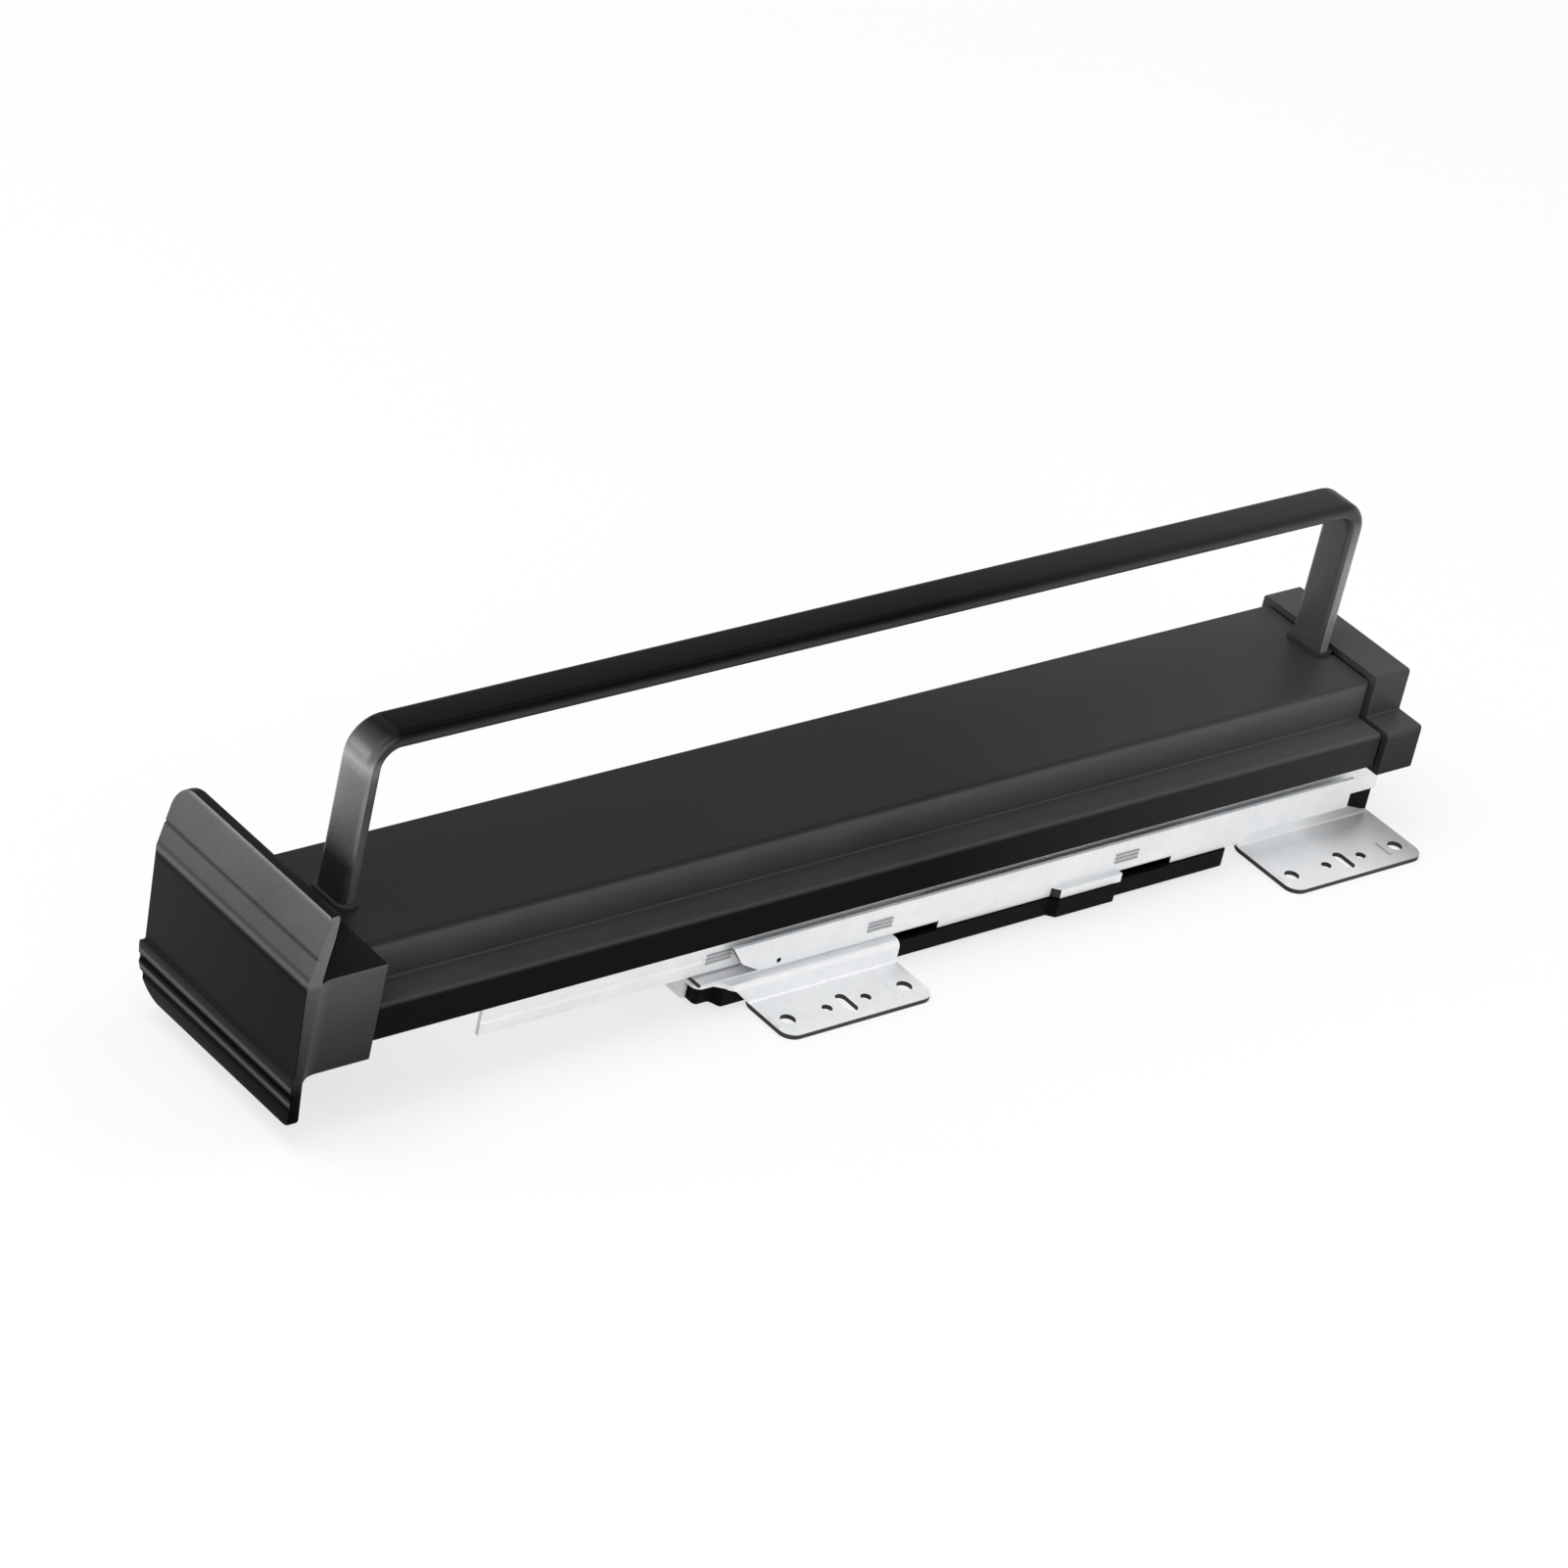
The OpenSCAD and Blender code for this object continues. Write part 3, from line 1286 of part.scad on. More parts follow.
fixed_rail();
front_bracket();
rear_bracket();
bracket_rivets();
damper_tray();
tray_screws();
damper_cylinder();
damper_rod();
closer_spring();
closer_catch();
rear_stop();
stop_buffer();
stop_screws();
middle_rail_lower();
middle_rail_upper();
middle_rivets();
closer_striker();
lower_ball_cage();
lower_balls();
upper_ball_cage();
upper_balls();
housing_channel();
front_panel();
rear_cap();
hanging_bar();
front_grommet();
rear_grommet();
inner_rail();
inner_rail_screws();
bar_screws();
panel_screws();
cap_screws();
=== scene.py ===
"""Studio scene of the sliding closet rod: finishes, fine shapes, lamps, floor and camera."""

import logging
import math
from dataclasses import dataclass, field, replace
from enum import Enum
from functools import partial
from typing import Callable

import bmesh
import bpy
from mathutils import Matrix, Vector


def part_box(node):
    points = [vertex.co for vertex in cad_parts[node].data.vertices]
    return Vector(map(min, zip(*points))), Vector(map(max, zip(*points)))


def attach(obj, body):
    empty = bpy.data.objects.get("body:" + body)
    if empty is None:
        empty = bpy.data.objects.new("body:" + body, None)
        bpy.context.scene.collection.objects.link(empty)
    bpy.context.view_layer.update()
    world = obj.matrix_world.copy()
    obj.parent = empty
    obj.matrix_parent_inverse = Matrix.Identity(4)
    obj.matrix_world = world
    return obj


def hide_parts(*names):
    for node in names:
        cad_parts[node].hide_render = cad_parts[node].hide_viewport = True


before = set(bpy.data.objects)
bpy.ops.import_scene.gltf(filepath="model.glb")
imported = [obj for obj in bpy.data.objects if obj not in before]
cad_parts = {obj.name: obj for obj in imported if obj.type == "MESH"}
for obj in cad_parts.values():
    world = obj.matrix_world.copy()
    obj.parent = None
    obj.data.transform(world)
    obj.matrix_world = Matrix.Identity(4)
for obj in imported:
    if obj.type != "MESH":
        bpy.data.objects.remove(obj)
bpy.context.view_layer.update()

Tree = bpy.types.NodeTree
Socket = bpy.types.NodeSocket
Face = bpy.types.MeshPolygon
Span = tuple[float, float]
Colour = tuple[float, float, float, float]
Names = tuple[str, ...]
Marked = tuple[tuple[str, float, float], ...]

LOG = logging.getLogger("closet_rod")
MM = 0.001
UNIT: Span = (0.0, 1.0)
WHITE = "ffffff"
# Largest radius of a rectangle's corners, as a share of its side.
MOST_ROUND = 0.499
# Settings of the noise for the fine marks and for the cloudy patches.
MARK_NOISE = {"Detail": 3.0, "Roughness": 0.6}
PATCH_NOISE = {"Detail": 4.0, "Roughness": 0.55}
# Marks times patches: clean below the first value, fully worn above the second.
WORN_FROM: Span = (0.12, 0.42)
# Between these values the noise of the patches moves the roughness.
CLOUDS: Span = (0.3, 0.7)


def linear(code: str) -> Colour:
    """Turn an sRGB hex colour into linear RGBA.

    Args:
        code: Six hex digits, such as "8a8c8e".

    Returns:
        Red, green, blue and alpha, each from 0 to 1.
    """
    shares = [int(code[i : i + 2], 16) / 255 for i in (0, 2, 4)]
    straight = [s / 12.92 if s <= 0.04045 else ((s + 0.055) / 1.055) ** 2.4 for s in shares]
    return (*straight, 1.0)


def add(tree: Tree, kind: str, settings: dict, sockets: dict) -> bpy.types.Node:
    """Add one node with its settings and its links.

    Args:
        tree: The node tree that gets the node.
        kind: Blender's name of the node type.
        settings: The node's own properties.
        sockets: Input name or number to a value, or to the output socket to link.

    Returns:
        The new node.
    """
    node = tree.nodes.new(kind)
    for name, value in settings.items():
        setattr(node, name, value)
    for name, value in sockets.items():
        if isinstance(value, Socket):
            tree.links.new(value, node.inputs[name])
        else:
            node.inputs[name].default_value = value
    return node


def here(tree: Tree) -> Socket:
    """Coordinates of the shaded point in the object's own axes.

    Args:
        tree: The node tree that gets the node.

    Returns:
        The socket that carries them, in metres.
    """
    return add(tree, "ShaderNodeTexCoord", {}, {}).outputs["Object"]


def part_of(tree: Tree, place: Socket, axis: str) -> Socket:
    """Take one coordinate out of three.

    Args:
        tree: The node tree that gets the node.
        place: Coordinates in metres.
        axis: X, Y or Z.

    Returns:
        The socket that carries the coordinate.
    """
    return add(tree, "ShaderNodeSeparateXYZ", {}, {"Vector": place}).outputs[axis]


def noise(tree: Tree, place: Socket, size_mm: float, sort: dict[str, float]) -> Socket:
    """Cloudy noise from 0 to 1.

    Args:
        tree: The node tree that gets the node.
        place: Coordinates in metres.
        size_mm: Distance between the clouds, in millimetres.
        sort: Detail and roughness of the noise.

    Returns:
        The socket that carries the noise.
    """
    sockets = {"Vector": place, "Scale": 1 / (size_mm * MM), **sort}
    return add(tree, "ShaderNodeTexNoise", {}, sockets).outputs["Fac"]


def ranged(tree: Tree, value: Socket, given: Span = UNIT, wanted: Span = UNIT) -> Socket:
    """Carry a value from one range over to another, and hold it at both ends.

    Args:
        tree: The node tree that gets the node.
        value: The value.
        given: Range that it comes from.
        wanted: Range that it goes to.

    Returns:
        The socket that carries the new value.
    """
    ends = {"From Min": given[0], "From Max": given[1], "To Min": wanted[0], "To Max": wanted[1]}
    return add(tree, "ShaderNodeMapRange", {}, {"Value": value, **ends}).outputs["Result"]


def joined(tree: Tree, operation: str, first: Socket, second: Socket) -> Socket:
    """Join two values into one.

    Args:
        tree: The node tree that gets the node.
        operation: Blender's name of the sum.
        first: The first value.
        second: The second value.

    Returns:
        The socket that carries the result.
    """
    return add(tree, "ShaderNodeMath", {"operation": operation}, {0: first, 1: second}).outputs["Value"]


def scaled(tree: Tree, colour: Socket, gain: Socket) -> Socket:
    """Make a colour lighter or darker.

    Args:
        tree: The node tree that gets the node.
        colour: The colour.
        gain: What it is multiplied by.

    Returns:
        The socket that carries the new colour.
    """
    sockets = {0: colour, "Scale": gain}
    return add(tree, "ShaderNodeVectorMath", {"operation": "SCALE"}, sockets).outputs["Vector"]


def seen_directly(tree: Tree) -> Socket:
    """Tell rays that come from the camera, a reflection or a clear piece from the rest.

    Args:
        tree: The node tree that gets the nodes.

    Returns:
        A socket that is 1 for such rays and 0 for all others.
    """
    path = add(tree, "ShaderNodeLightPath", {}, {})
    seen = path.outputs["Is Camera Ray"]
    for kind in ("Is Glossy Ray", "Is Transmission Ray"):
        seen = joined(tree, "MAXIMUM", seen, path.outputs[kind])
    return seen


class Grain(Enum):
    """Way in which a surface's fine marks run."""

    EVEN = (1.0, 1.0, 1.0)
    ALONG_RAIL = (1.0, 0.02, 1.0)


@dataclass(frozen=True)
class Finish:
    """A real material and the way its surface was made.

    Attributes:
        name: Name of the Blender material.
        tone: sRGB colour where the surface is clean.
        worn: sRGB colour of the cloudier or more handled patches, or None for the same colour.
        metallic: 1 for bare metal, 0 for paint, plastic and rubber.
        roughness: Mean roughness.
        spread: How far the roughness wanders to either side.
        specular: Strength of the reflection of a non-metal.
        mark_mm: Distance between the fine marks, in millimetres.
        mark_depth_mm: Height of the fine marks, in millimetres.
        patch_mm: Size of the cloudy patches, in millimetres.
        grain: Way in which the marks run.
    """

    name: str
    tone: str
    worn: str | None = None
    metallic: float = 0.0
    roughness: float = 0.4
    spread: float = 0.05
    specular: float = 0.5
    mark_mm: float = 0.6
    mark_depth_mm: float = 0.01
    patch_mm: float = 25.0
    grain: Grain = Grain.EVEN

    def cells(self, tree: Tree, place: Socket) -> Socket:
        """Fine marks of the surface, from 0 to 1.

        Args:
            tree: The material's node tree.
            place: Coordinates in metres, stretched along the rail where the marks are.

        Returns:
            The socket that carries the marks.
        """
        return noise(tree, place, self.mark_mm, MARK_NOISE)

    def material(self) -> bpy.types.Material:
        """Build the Blender material, or return it if it is there.

        Returns:
            The finished material.
        """
        found = bpy.data.materials.get(self.name)
        if found:
            return found
        made = bpy.data.materials.new(self.name)
        made.use_nodes = True
        made.diffuse_color = linear(self.tone)
        tree = made.node_tree
        tree.nodes.clear()
        place = here(tree)
        run = add(tree, "ShaderNodeMapping", {}, {"Vector": place, "Scale": self.grain.value})
        marks = self.cells(tree, run.outputs["Vector"])
        patches = noise(tree, place, self.patch_mm, PATCH_NOISE)
        blend = ranged(tree, joined(tree, "MULTIPLY", marks, patches), WORN_FROM)
        rough = (self.roughness - self.spread, self.roughness + self.spread)
        relief = {"Height": marks, "Strength": 1.0, "Distance": self.mark_depth_mm * MM}
        looks = {
            "Base Color": self.colour(tree, place, blend),
            "Roughness": ranged(tree, patches, CLOUDS, rough),
            "Normal": add(tree, "ShaderNodeBump", {}, relief).outputs["Normal"],
            "Metallic": self.metallic,
            "Specular IOR Level": self.shine(tree, place),
        }
        shader = add(tree, "ShaderNodeBsdfPrincipled", {}, looks).outputs["BSDF"]
        add(tree, "ShaderNodeOutputMaterial", {}, {"Surface": self.surface(tree, shader)})
        return made

    def colour(self, tree: Tree, place: Socket, blend: Socket) -> Socket:
        """Colour of the surface, from its clean tone to its worn one.

        Args:
            tree: The material's node tree.
            place: Coordinates in metres.
            blend: Share of the worn tone.

        Returns:
            The socket that carries the colour.
        """
        tones = {"Factor": blend, 6: linear(self.tone), 7: linear(self.worn or self.tone)}
        return add(tree, "ShaderNodeMix", {"data_type": "RGBA"}, tones).outputs[2]

    def shine(self, tree: Tree, place: Socket) -> float | Socket:
        """Strength of the reflection of a non-metal.

        Args:
            tree: The material's node tree.
            place: Coordinates in metres.

        Returns:
            One value for the whole surface, or the socket that carries it.
        """
        return self.specular

    def surface(self, tree: Tree, shader: Socket) -> Socket:
        """Shader of the whole surface.

        Args:
            tree: The material's node tree.
            shader: The finish's own shader.

        Returns:
            The socket for the material's output.
        """
        return shader


@dataclass(frozen=True)
class BandedFinish(Finish):
    """A finish with painted light and shade: colour and reflection strength in bands by height of the
    piece, and a painted paler haze toward the rear.

    Attributes:
        bands: Height in millimetres, sRGB grey as two hex digits and reflection strength, rising.
        reach_mm: Height that the bands end below.
        painted_light_rear: Linear grey that the painted paler haze adds at the rear end.
        painted_light_rear_mm: Where along the rail the painted haze starts and where it is full.
        wear: What a clean and a worn patch multiply the bands' colour by.
    """

    bands: tuple[tuple[float, str, float], ...] = ()
    reach_mm: float = 120.0
    painted_light_rear: float = 0.0
    painted_light_rear_mm: Span = (40.0, 240.0)
    wear: Span = (0.9, 1.2)

    def ramp(self, tree: Tree, place: Socket, tones: list[Colour]) -> Socket:
        """Read one colour for each height.

        Args:
            tree: The material's node tree.
            place: Coordinates in metres.
            tones: Linear RGBA of each band.

        Returns:
            The socket that carries the colour.
        """
        share = ranged(tree, part_of(tree, place, "Z"), (0.0, self.reach_mm * MM))
        node = add(tree, "ShaderNodeValToRGB", {}, {"Fac": share})
        stops = node.color_ramp.elements
        for i, (band, tone) in enumerate(zip(self.bands, tones)):
            at = band[0] / self.reach_mm
            stop = stops[i] if i < len(stops) else stops.new(at)
            stop.position, stop.color = at, tone
        return node.outputs["Color"]

    def colour(self, tree: Tree, place: Socket, blend: Socket) -> Socket:
        """Colour of the band, a third lighter where it is worn, with the painted haze added toward the
        rear.

        Args:
            tree: The material's node tree.
            place: Coordinates in metres.
            blend: Share of the worn tone.

        Returns:
            The socket that carries the colour.
        """
        tone = self.ramp(tree, place, [linear(grey * 3) for _, grey, _ in self.bands])
        banded = scaled(tree, tone, ranged(tree, blend, wanted=self.wear))
        # Painted paler haze toward the rear end, which stands for light.
        reach = (self.painted_light_rear_mm[0] * MM, self.painted_light_rear_mm[1] * MM)
        rear_light_added = ranged(tree, part_of(tree, place, "Y"), reach, (0.0, self.painted_light_rear))
        both = add(tree, "ShaderNodeVectorMath", {"operation": "ADD"}, {0: banded, 1: rear_light_added})
        return both.outputs["Vector"]

    def shine(self, tree: Tree, place: Socket) -> float | Socket:
        """Strength of the reflection of the band.

        Args:
            tree: The material's node tree.
            place: Coordinates in metres.

        Returns:
            The socket that carries it.
        """
        return self.ramp(tree, place, [(share, share, share, 1.0) for _, _, share in self.bands])


@dataclass(frozen=True)
class BackdropFinish(Finish):
    """Matt floor paint that the camera sees as white and that still takes the shadow.

    Attributes:
        lift: Share of plain white that the camera and reflections see around the object.
        clear: Distances from the object, in metres, between which that share grows to all white.
    """

    lift: float = 0.7
    clear: Span = (0.7, 1.8)

    def surface(self, tree: Tree, shader: Socket) -> Socket:
        """Mix plain white over the paint where a camera, glossy or transmission ray sees it.

        Args:
            tree: The material's node tree.
            shader: The paint's own shader.

        Returns:
            The socket for the material's output.
        """
        white = add(tree, "ShaderNodeEmission", {}, {"Color": linear(WHITE), "Strength": 1.0})
        away = add(tree, "ShaderNodeVectorMath", {"operation": "LENGTH"}, {0: here(tree)})
        lift = ranged(tree, away.outputs["Value"], self.clear, (self.lift, 1.0))
        share = joined(tree, "MULTIPLY", seen_directly(tree), lift)
        sockets = {0: share, 1: shader, 2: white.outputs["Emission"]}
        return add(tree, "ShaderNodeMixShader", {}, sockets).outputs["Shader"]


@dataclass(frozen=True)
class SpangledFinish(Finish):
    """Hot-dip zinc: flat crystals a few millimetres wide over the rolled sheet.

    Attributes:
        spangle_mm: Width of the crystals, in millimetres.
        crystals: Share of the crystals in the fine marks.
        dark_reflection: Share of the zinc's colour left at the rear end by the painted dark reflection.
        dark_reflection_mm: Where along the rail the painted dark reflection starts and where it is
            full.
    """

    spangle_mm: float = 3.5
    crystals: float = 0.3
    dark_reflection: float = 1.0
    dark_reflection_mm: Span = (200.0, 240.0)

    def cells(self, tree: Tree, place: Socket) -> Socket:
        """Rolling lines mixed with the zinc crystals, from 0 to 1.

        Args:
            tree: The material's node tree.
            place: Coordinates in metres, stretched along the rail.

        Returns:
            The socket that carries the marks.
        """
        lines = super().cells(tree, place)
        size = {"Vector": here(tree), "Scale": 1 / (self.spangle_mm * MM), "Randomness": 1.0}
        crystal = add(tree, "ShaderNodeTexVoronoi", {"feature": "F1"}, size).outputs["Color"]
        grey = add(tree, "ShaderNodeRGBToBW", {}, {"Color": crystal}).outputs["Val"]
        sockets = {"Factor": self.crystals, 2: lines, 3: grey}
        return add(tree, "ShaderNodeMix", {"data_type": "FLOAT"}, sockets).outputs[0]

    def colour(self, tree: Tree, place: Socket, blend: Socket) -> Socket:
        """Colour of the zinc, darker toward the rear end under a painted dark reflection.

        Args:
            tree: The material's node tree.
            place: Coordinates in metres.
            blend: Share of the worn tone.

        Returns:
            The socket that carries the colour.
        """
        zinc = super().colour(tree, place, blend)
        if self.dark_reflection == 1.0:
            return zinc
        reach = (self.dark_reflection_mm[0] * MM, self.dark_reflection_mm[1] * MM)
        return scaled(tree, zinc, ranged(tree, part_of(tree, place, "Y"), reach, (1.0, self.dark_reflection)))


# Galvanised steel strip, skin-passed: almost white under soft light, with faint rolling lines
# along the rail and pale zinc crystals, drawn 3.5 mm wide so that they show.
GALVANISED = SpangledFinish(
    name="galvanised_steel_rolled", tone="f4f5f6", worn="e9ebed",
    metallic=0.3, roughness=0.42,
    mark_mm=0.5, mark_depth_mm=0.0008, patch_mm=18.0, grain=Grain.ALONG_RAIL,
)
# The rear plate of the same steel, with a painted dark reflection that greys it toward its rear end.
DARK_REFLECTED_ZINC = replace(GALVANISED, name="galvanised_steel_dark_reflected", dark_reflection=0.4, dark_reflection_mm=(214.0, 246.0))
# Crown and flanks of a rib pressed into the same sheet: painted a flat mid grey.
RIB_GREY = Finish(
    name="galvanised_steel_rib_grey", tone="b0b2b4", worn="9c9ea0",
    metallic=0.3, roughness=0.36, spread=0.04,
    mark_mm=0.5, mark_depth_mm=0.0008, patch_mm=12.0, grain=Grain.ALONG_RAIL,
)
# Cut face of the same strip: sheared bare steel with an even grain, painted near black as painted
# shade on the upright cut faces, the holes' walls and the rail's ends.
SHEARED_SHADED = Finish(
    name="sheared_steel_edge_shaded", tone="2b2c2e", worn="414245",
    metallic=0.6, roughness=0.5, spread=0.08, specular=0.3,
    mark_mm=0.4, mark_depth_mm=0.006, patch_mm=5.0,
)
# Bright zinc-plated steel, barrel plated: a clean mirror-like grey with soft small dents.
PLATED = Finish(
    name="zinc_plated_steel_barrelled", tone="d8dbdd", worn="bfc3c6",
    metallic=1.0, roughness=0.24,
    mark_mm=0.9, mark_depth_mm=0.004, patch_mm=6.0,
)
# Yellow-passivated steel strip of the ball retainers, darkened to a dull grey gold as painted shade
# under the channel, with cloudy patches.
PASSIVATED = Finish(
    name="passivated_steel_strip", tone="99917a", worn="7d7664",
    metallic=1.0, roughness=0.4, spread=0.06,
    mark_mm=0.8, mark_depth_mm=0.003, patch_mm=9.0,
)
# Extruded aluminium, anodised black and matt, with drawing lines along the profile, and painted
# light and shade by height: painted shade deep black low on the sides and darker on the roof,
# painted light in charcoal on the upper box, and a painted paler haze toward the rear.
ANODISED = BandedFinish(
    name="anodised_aluminium_extruded", tone="1c1c1c",
    roughness=0.44, spread=0.04, specular=0.12,
    mark_mm=0.35, mark_depth_mm=0.003, patch_mm=40.0, grain=Grain.ALONG_RAIL,
    bands=(
        (0.0, "0a", 0.02), (41.4, "0c", 0.02), (42.4, "34", 0.12), (44.0, "36", 0.16),
        (50.0, "3a", 0.18), (55.0, "43", 0.2), (56.4, "18", 0.09),
    ),
    painted_light_rear=0.03,
)
# Flat steel tube, powder coated with a fine metal flake and a faint orange peel, 1.4 mm from bump
# to bump: a painted grey sheen down the legs, painted shade deep black along the top, and a
# painted paler haze toward the rear.
POWDER = BandedFinish(
    name="flake_powder_coated_tube", tone="151515",
    metallic=0.25, roughness=0.34, spread=0.04, specular=0.1,
    mark_mm=1.4, mark_depth_mm=0.003, patch_mm=30.0,
    bands=(
        (56.0, "5e", 0.2), (100.0, "72", 0.3), (106.0, "5c", 0.3), (109.0, "2c", 0.2),
        (113.0, "2c", 0.16), (114.6, "0c", 0.03), (116.0, "06", 0.02),
    ),
    painted_light_rear=0.03,
)
# The same coat on the front leg's broad face: painted light above, a painted highlight at the bend,
# and painted shade at the foot, which the grip shades.
POWDER_FRONT = replace(
    POWDER,
    name="flake_powder_coated_front",
    bands=(
        (56.0, "34", 0.1), (70.5, "38", 0.1), (76.5, "6a", 0.2), (92.0, "82", 0.3),
        (101.0, "86", 0.3), (105.5, "a4", 0.35), (108.0, "6e", 0.25), (113.0, "3a", 0.15),
        (115.3, "16", 0.05),
    ),
)
# The same coat on the near side of the front leg: painted shade, darkest just below the bend.
POWDER_NEAR = replace(
    POWDER,
    name="flake_powder_coated_near",
    bands=(
        (56.0, "50", 0.1), (74.0, "4c", 0.1), (92.0, "3e", 0.12), (101.0, "50", 0.2),
        (103.4, "66", 0.3),
    ),
)
# The same coat on the near side of the rear leg: painted light, a shade paler than on the front leg.
POWDER_REAR_LIT = replace(
    POWDER,
    name="flake_powder_coated_rear_lit",
    bands=((56.0, "78", 0.25), (92.0, "7e", 0.3), (103.4, "66", 0.3)),
)
# The same coat on the rear leg's inner face: a painted dark reflection of the roof.
POWDER_INNER = replace(
    POWDER,
    name="flake_powder_coated_inner",
    bands=((56.0, "3a", 0.1), (104.0, "44", 0.1), (114.0, "0c", 0.04)),
)
# Glass-filled nylon, moulded black in an eroded tool: even fine grain, drawn 0.5 mm wide.
NYLON = Finish(
    name="nylon_moulded_grained", tone="080808", worn="101010",
    roughness=0.46, specular=0.04,
    mark_mm=0.5, mark_depth_mm=0.005, patch_mm=22.0,
)
# The same nylon on the rear cap, a soft charcoal, with painted light paler above the housing's step.
CAP_NYLON = BandedFinish(
    name="nylon_moulded_painted_light", tone="343434",
    roughness=0.46, specular=0.1,
    mark_mm=0.5, mark_depth_mm=0.005, patch_mm=22.0,
    bands=(
        (30.0, "26", 0.06), (41.5, "2c", 0.08), (43.5, "3e", 0.1), (58.0, "40", 0.1),
    ),
)
# ABS, moulded and painted satin black, smoother than the nylon: painted light makes the leaning grip
# a soft grey, the ribs of the lip, the crease and the plate's upper edge carry painted highlights,
# and the grooves between them painted shade.
ABS = BandedFinish(
    name="abs_moulded_painted", tone="191919",
    roughness=0.36, spread=0.03, specular=0.1,
    mark_mm=0.7, mark_depth_mm=0.002, patch_mm=26.0,
    bands=(
        (8.0, "06", 0.03), (13.0, "07", 0.03), (13.8, "02", 0.02), (14.9, "12", 0.03),
        (16.1, "52", 0.06), (17.3, "14", 0.03), (18.4, "02", 0.01), (19.6, "02", 0.01),
        (20.5, "22", 0.03), (21.7, "52", 0.06), (23.0, "1c", 0.04), (24.6, "22", 0.05),
        (25.4, "16", 0.05), (26.4, "10", 0.05), (55.5, "12", 0.05), (57.0, "09", 0.03),
        (57.8, "18", 0.04), (59.3, "58", 0.08), (60.2, "53", 0.08), (61.0, "3a", 0.06),
        (62.3, "4e", 0.1), (67.0, "50", 0.1), (68.2, "36", 0.08), (69.4, "52", 0.1),
        (80.4, "58", 0.12), (81.6, "78", 0.15),
    ),
)
# The same paint on the sides of the moulding, with painted light: grey above the lip.
ABS_SIDE = replace(
    ABS,
    name="abs_moulded_lit_side", tone="2c2c2c", roughness=0.34,
    bands=(
        (8.0, "02", 0.01), (19.0, "06", 0.02), (24.0, "22", 0.05), (40.0, "34", 0.08),
        (57.0, "46", 0.12), (58.6, "5c", 0.12), (82.0, "64", 0.14),
    ),
)
# The same paint on the back and the top edge, with painted shade: deep black.
ABS_BACK = Finish(
    name="abs_moulded_shaded_back", tone="090909", worn="0f0f0f",
    roughness=0.4, spread=0.04, specular=0.04,
    mark_mm=0.7, mark_depth_mm=0.003, patch_mm=26.0,
)
# Moulded synthetic rubber: dull, with a dusty bloom in patches.
RUBBER = Finish(
    name="rubber_moulded", tone="2a2a2a", worn="363636",
    roughness=0.7, spread=0.06, specular=0.1,
    patch_mm=7.0,
)
# Emulsion paint on the studio floor: matt white with a barely seen roller texture.
FLOOR_PAINT = BackdropFinish(
    name="floor_paint_matt", tone="f7f7f7", worn="f4f4f4",
    roughness=0.9, spread=0.02, specular=0.1,
    mark_mm=4.0, mark_depth_mm=0.0, patch_mm=400.0,
)


def dress(names: Names, finish: Finish) -> None:
    """Give CAD nodes their finish.

    Args:
        names: The nodes' names.
        finish: The finish they get.
    """
    for name in names:
        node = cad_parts[name]
        node.data.materials.clear()
        node.data.materials.append(finish.material())
        for face in node.data.polygons:
            face.material_index = 0
        LOG.info("dressed %s in %s", name, finish.name)


def pick_faces(names: Names, finish: Finish, is_picked: Callable[[Face], bool]) -> None:
    """Give some faces of dressed CAD nodes a finish of their own.

    Args:
        names: The nodes' names.
        finish: The finish that the picked faces get.
        is_picked: Tells whether a face is one of them.
    """
    for name in names:
        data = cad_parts[name].data
        data.materials.append(finish.material())
        picked = [face for face in data.polygons if is_picked(face)]
        for face in picked:
            face.material_index = len(data.materials) - 1
        LOG.info("gave %d faces of %s the finish %s", len(picked), name, finish.name)


def coat(
    piece: bpy.types.Object, finishes: tuple[Finish, ...], choose: Callable[[Face], Finish]
) -> None:
    """Give a new piece its finishes, face by face.

    Args:
        piece: The piece.
        finishes: All finishes that it has.
        choose: Tells the finish of a face.
    """
    for finish in finishes:
        piece.data.materials.append(finish.material())
    for face in piece.data.polygons:
        face.material_index = finishes.index(choose(face))


def rounded_ring(low: Vector, high: Vector, radius: float, steps: int) -> list[Vector]:
    """Points of a rectangle with rounded corners, counter-clockwise.

    Args:
        low: Lower corner, x and y.
        high: Upper corner, x and y.
        radius: Radius of the corners.
        steps: Segments in each corner.

    Returns:
        The points, with z = 0.
    """
    radius = min(radius, MOST_ROUND * (high.x - low.x), MOST_ROUND * (high.y - low.y))
    centres = (
        (high.x - radius, high.y - radius, 0),
        (low.x + radius, high.y - radius, 90),
        (low.x + radius, low.y + radius, 180),
        (high.x - radius, low.y + radius, 270),
    )
    ring = []
    for x, y, start in centres:
        for i in range(steps + 1):
            turn = math.radians(start + 90 * i / steps)
            ring.append(Vector((x + radius * math.cos(turn), y + radius * math.sin(turn), 0)))
    return ring


def loft(name: str, rings: list[list[Vector]], sharp: float) -> bpy.types.Object:
    """Skin a row of rings that have the same number of points, and close both ends.

    Args:
        name: Name of the new object.
        rings: The rings in order, in metres.
        sharp: Angle in degrees above which an edge stays sharp.

    Returns:
        The new object, linked to the scene.
    """
    bm = bmesh.new()
    rows = [[bm.verts.new(p) for p in ring] for ring in rings]
    count = len(rings[0])
    for a, b in zip(rows, rows[1:]):
        for i in range(count):
            k = (i + 1) % count
            bm.faces.new((a[i], a[k], b[k], b[i]))
    bm.faces.new(list(reversed(rows[0])))
    bm.faces.new(rows[-1])
    bmesh.ops.recalc_face_normals(bm, faces=bm.faces)
    return finish_mesh(name, bm, sharp)


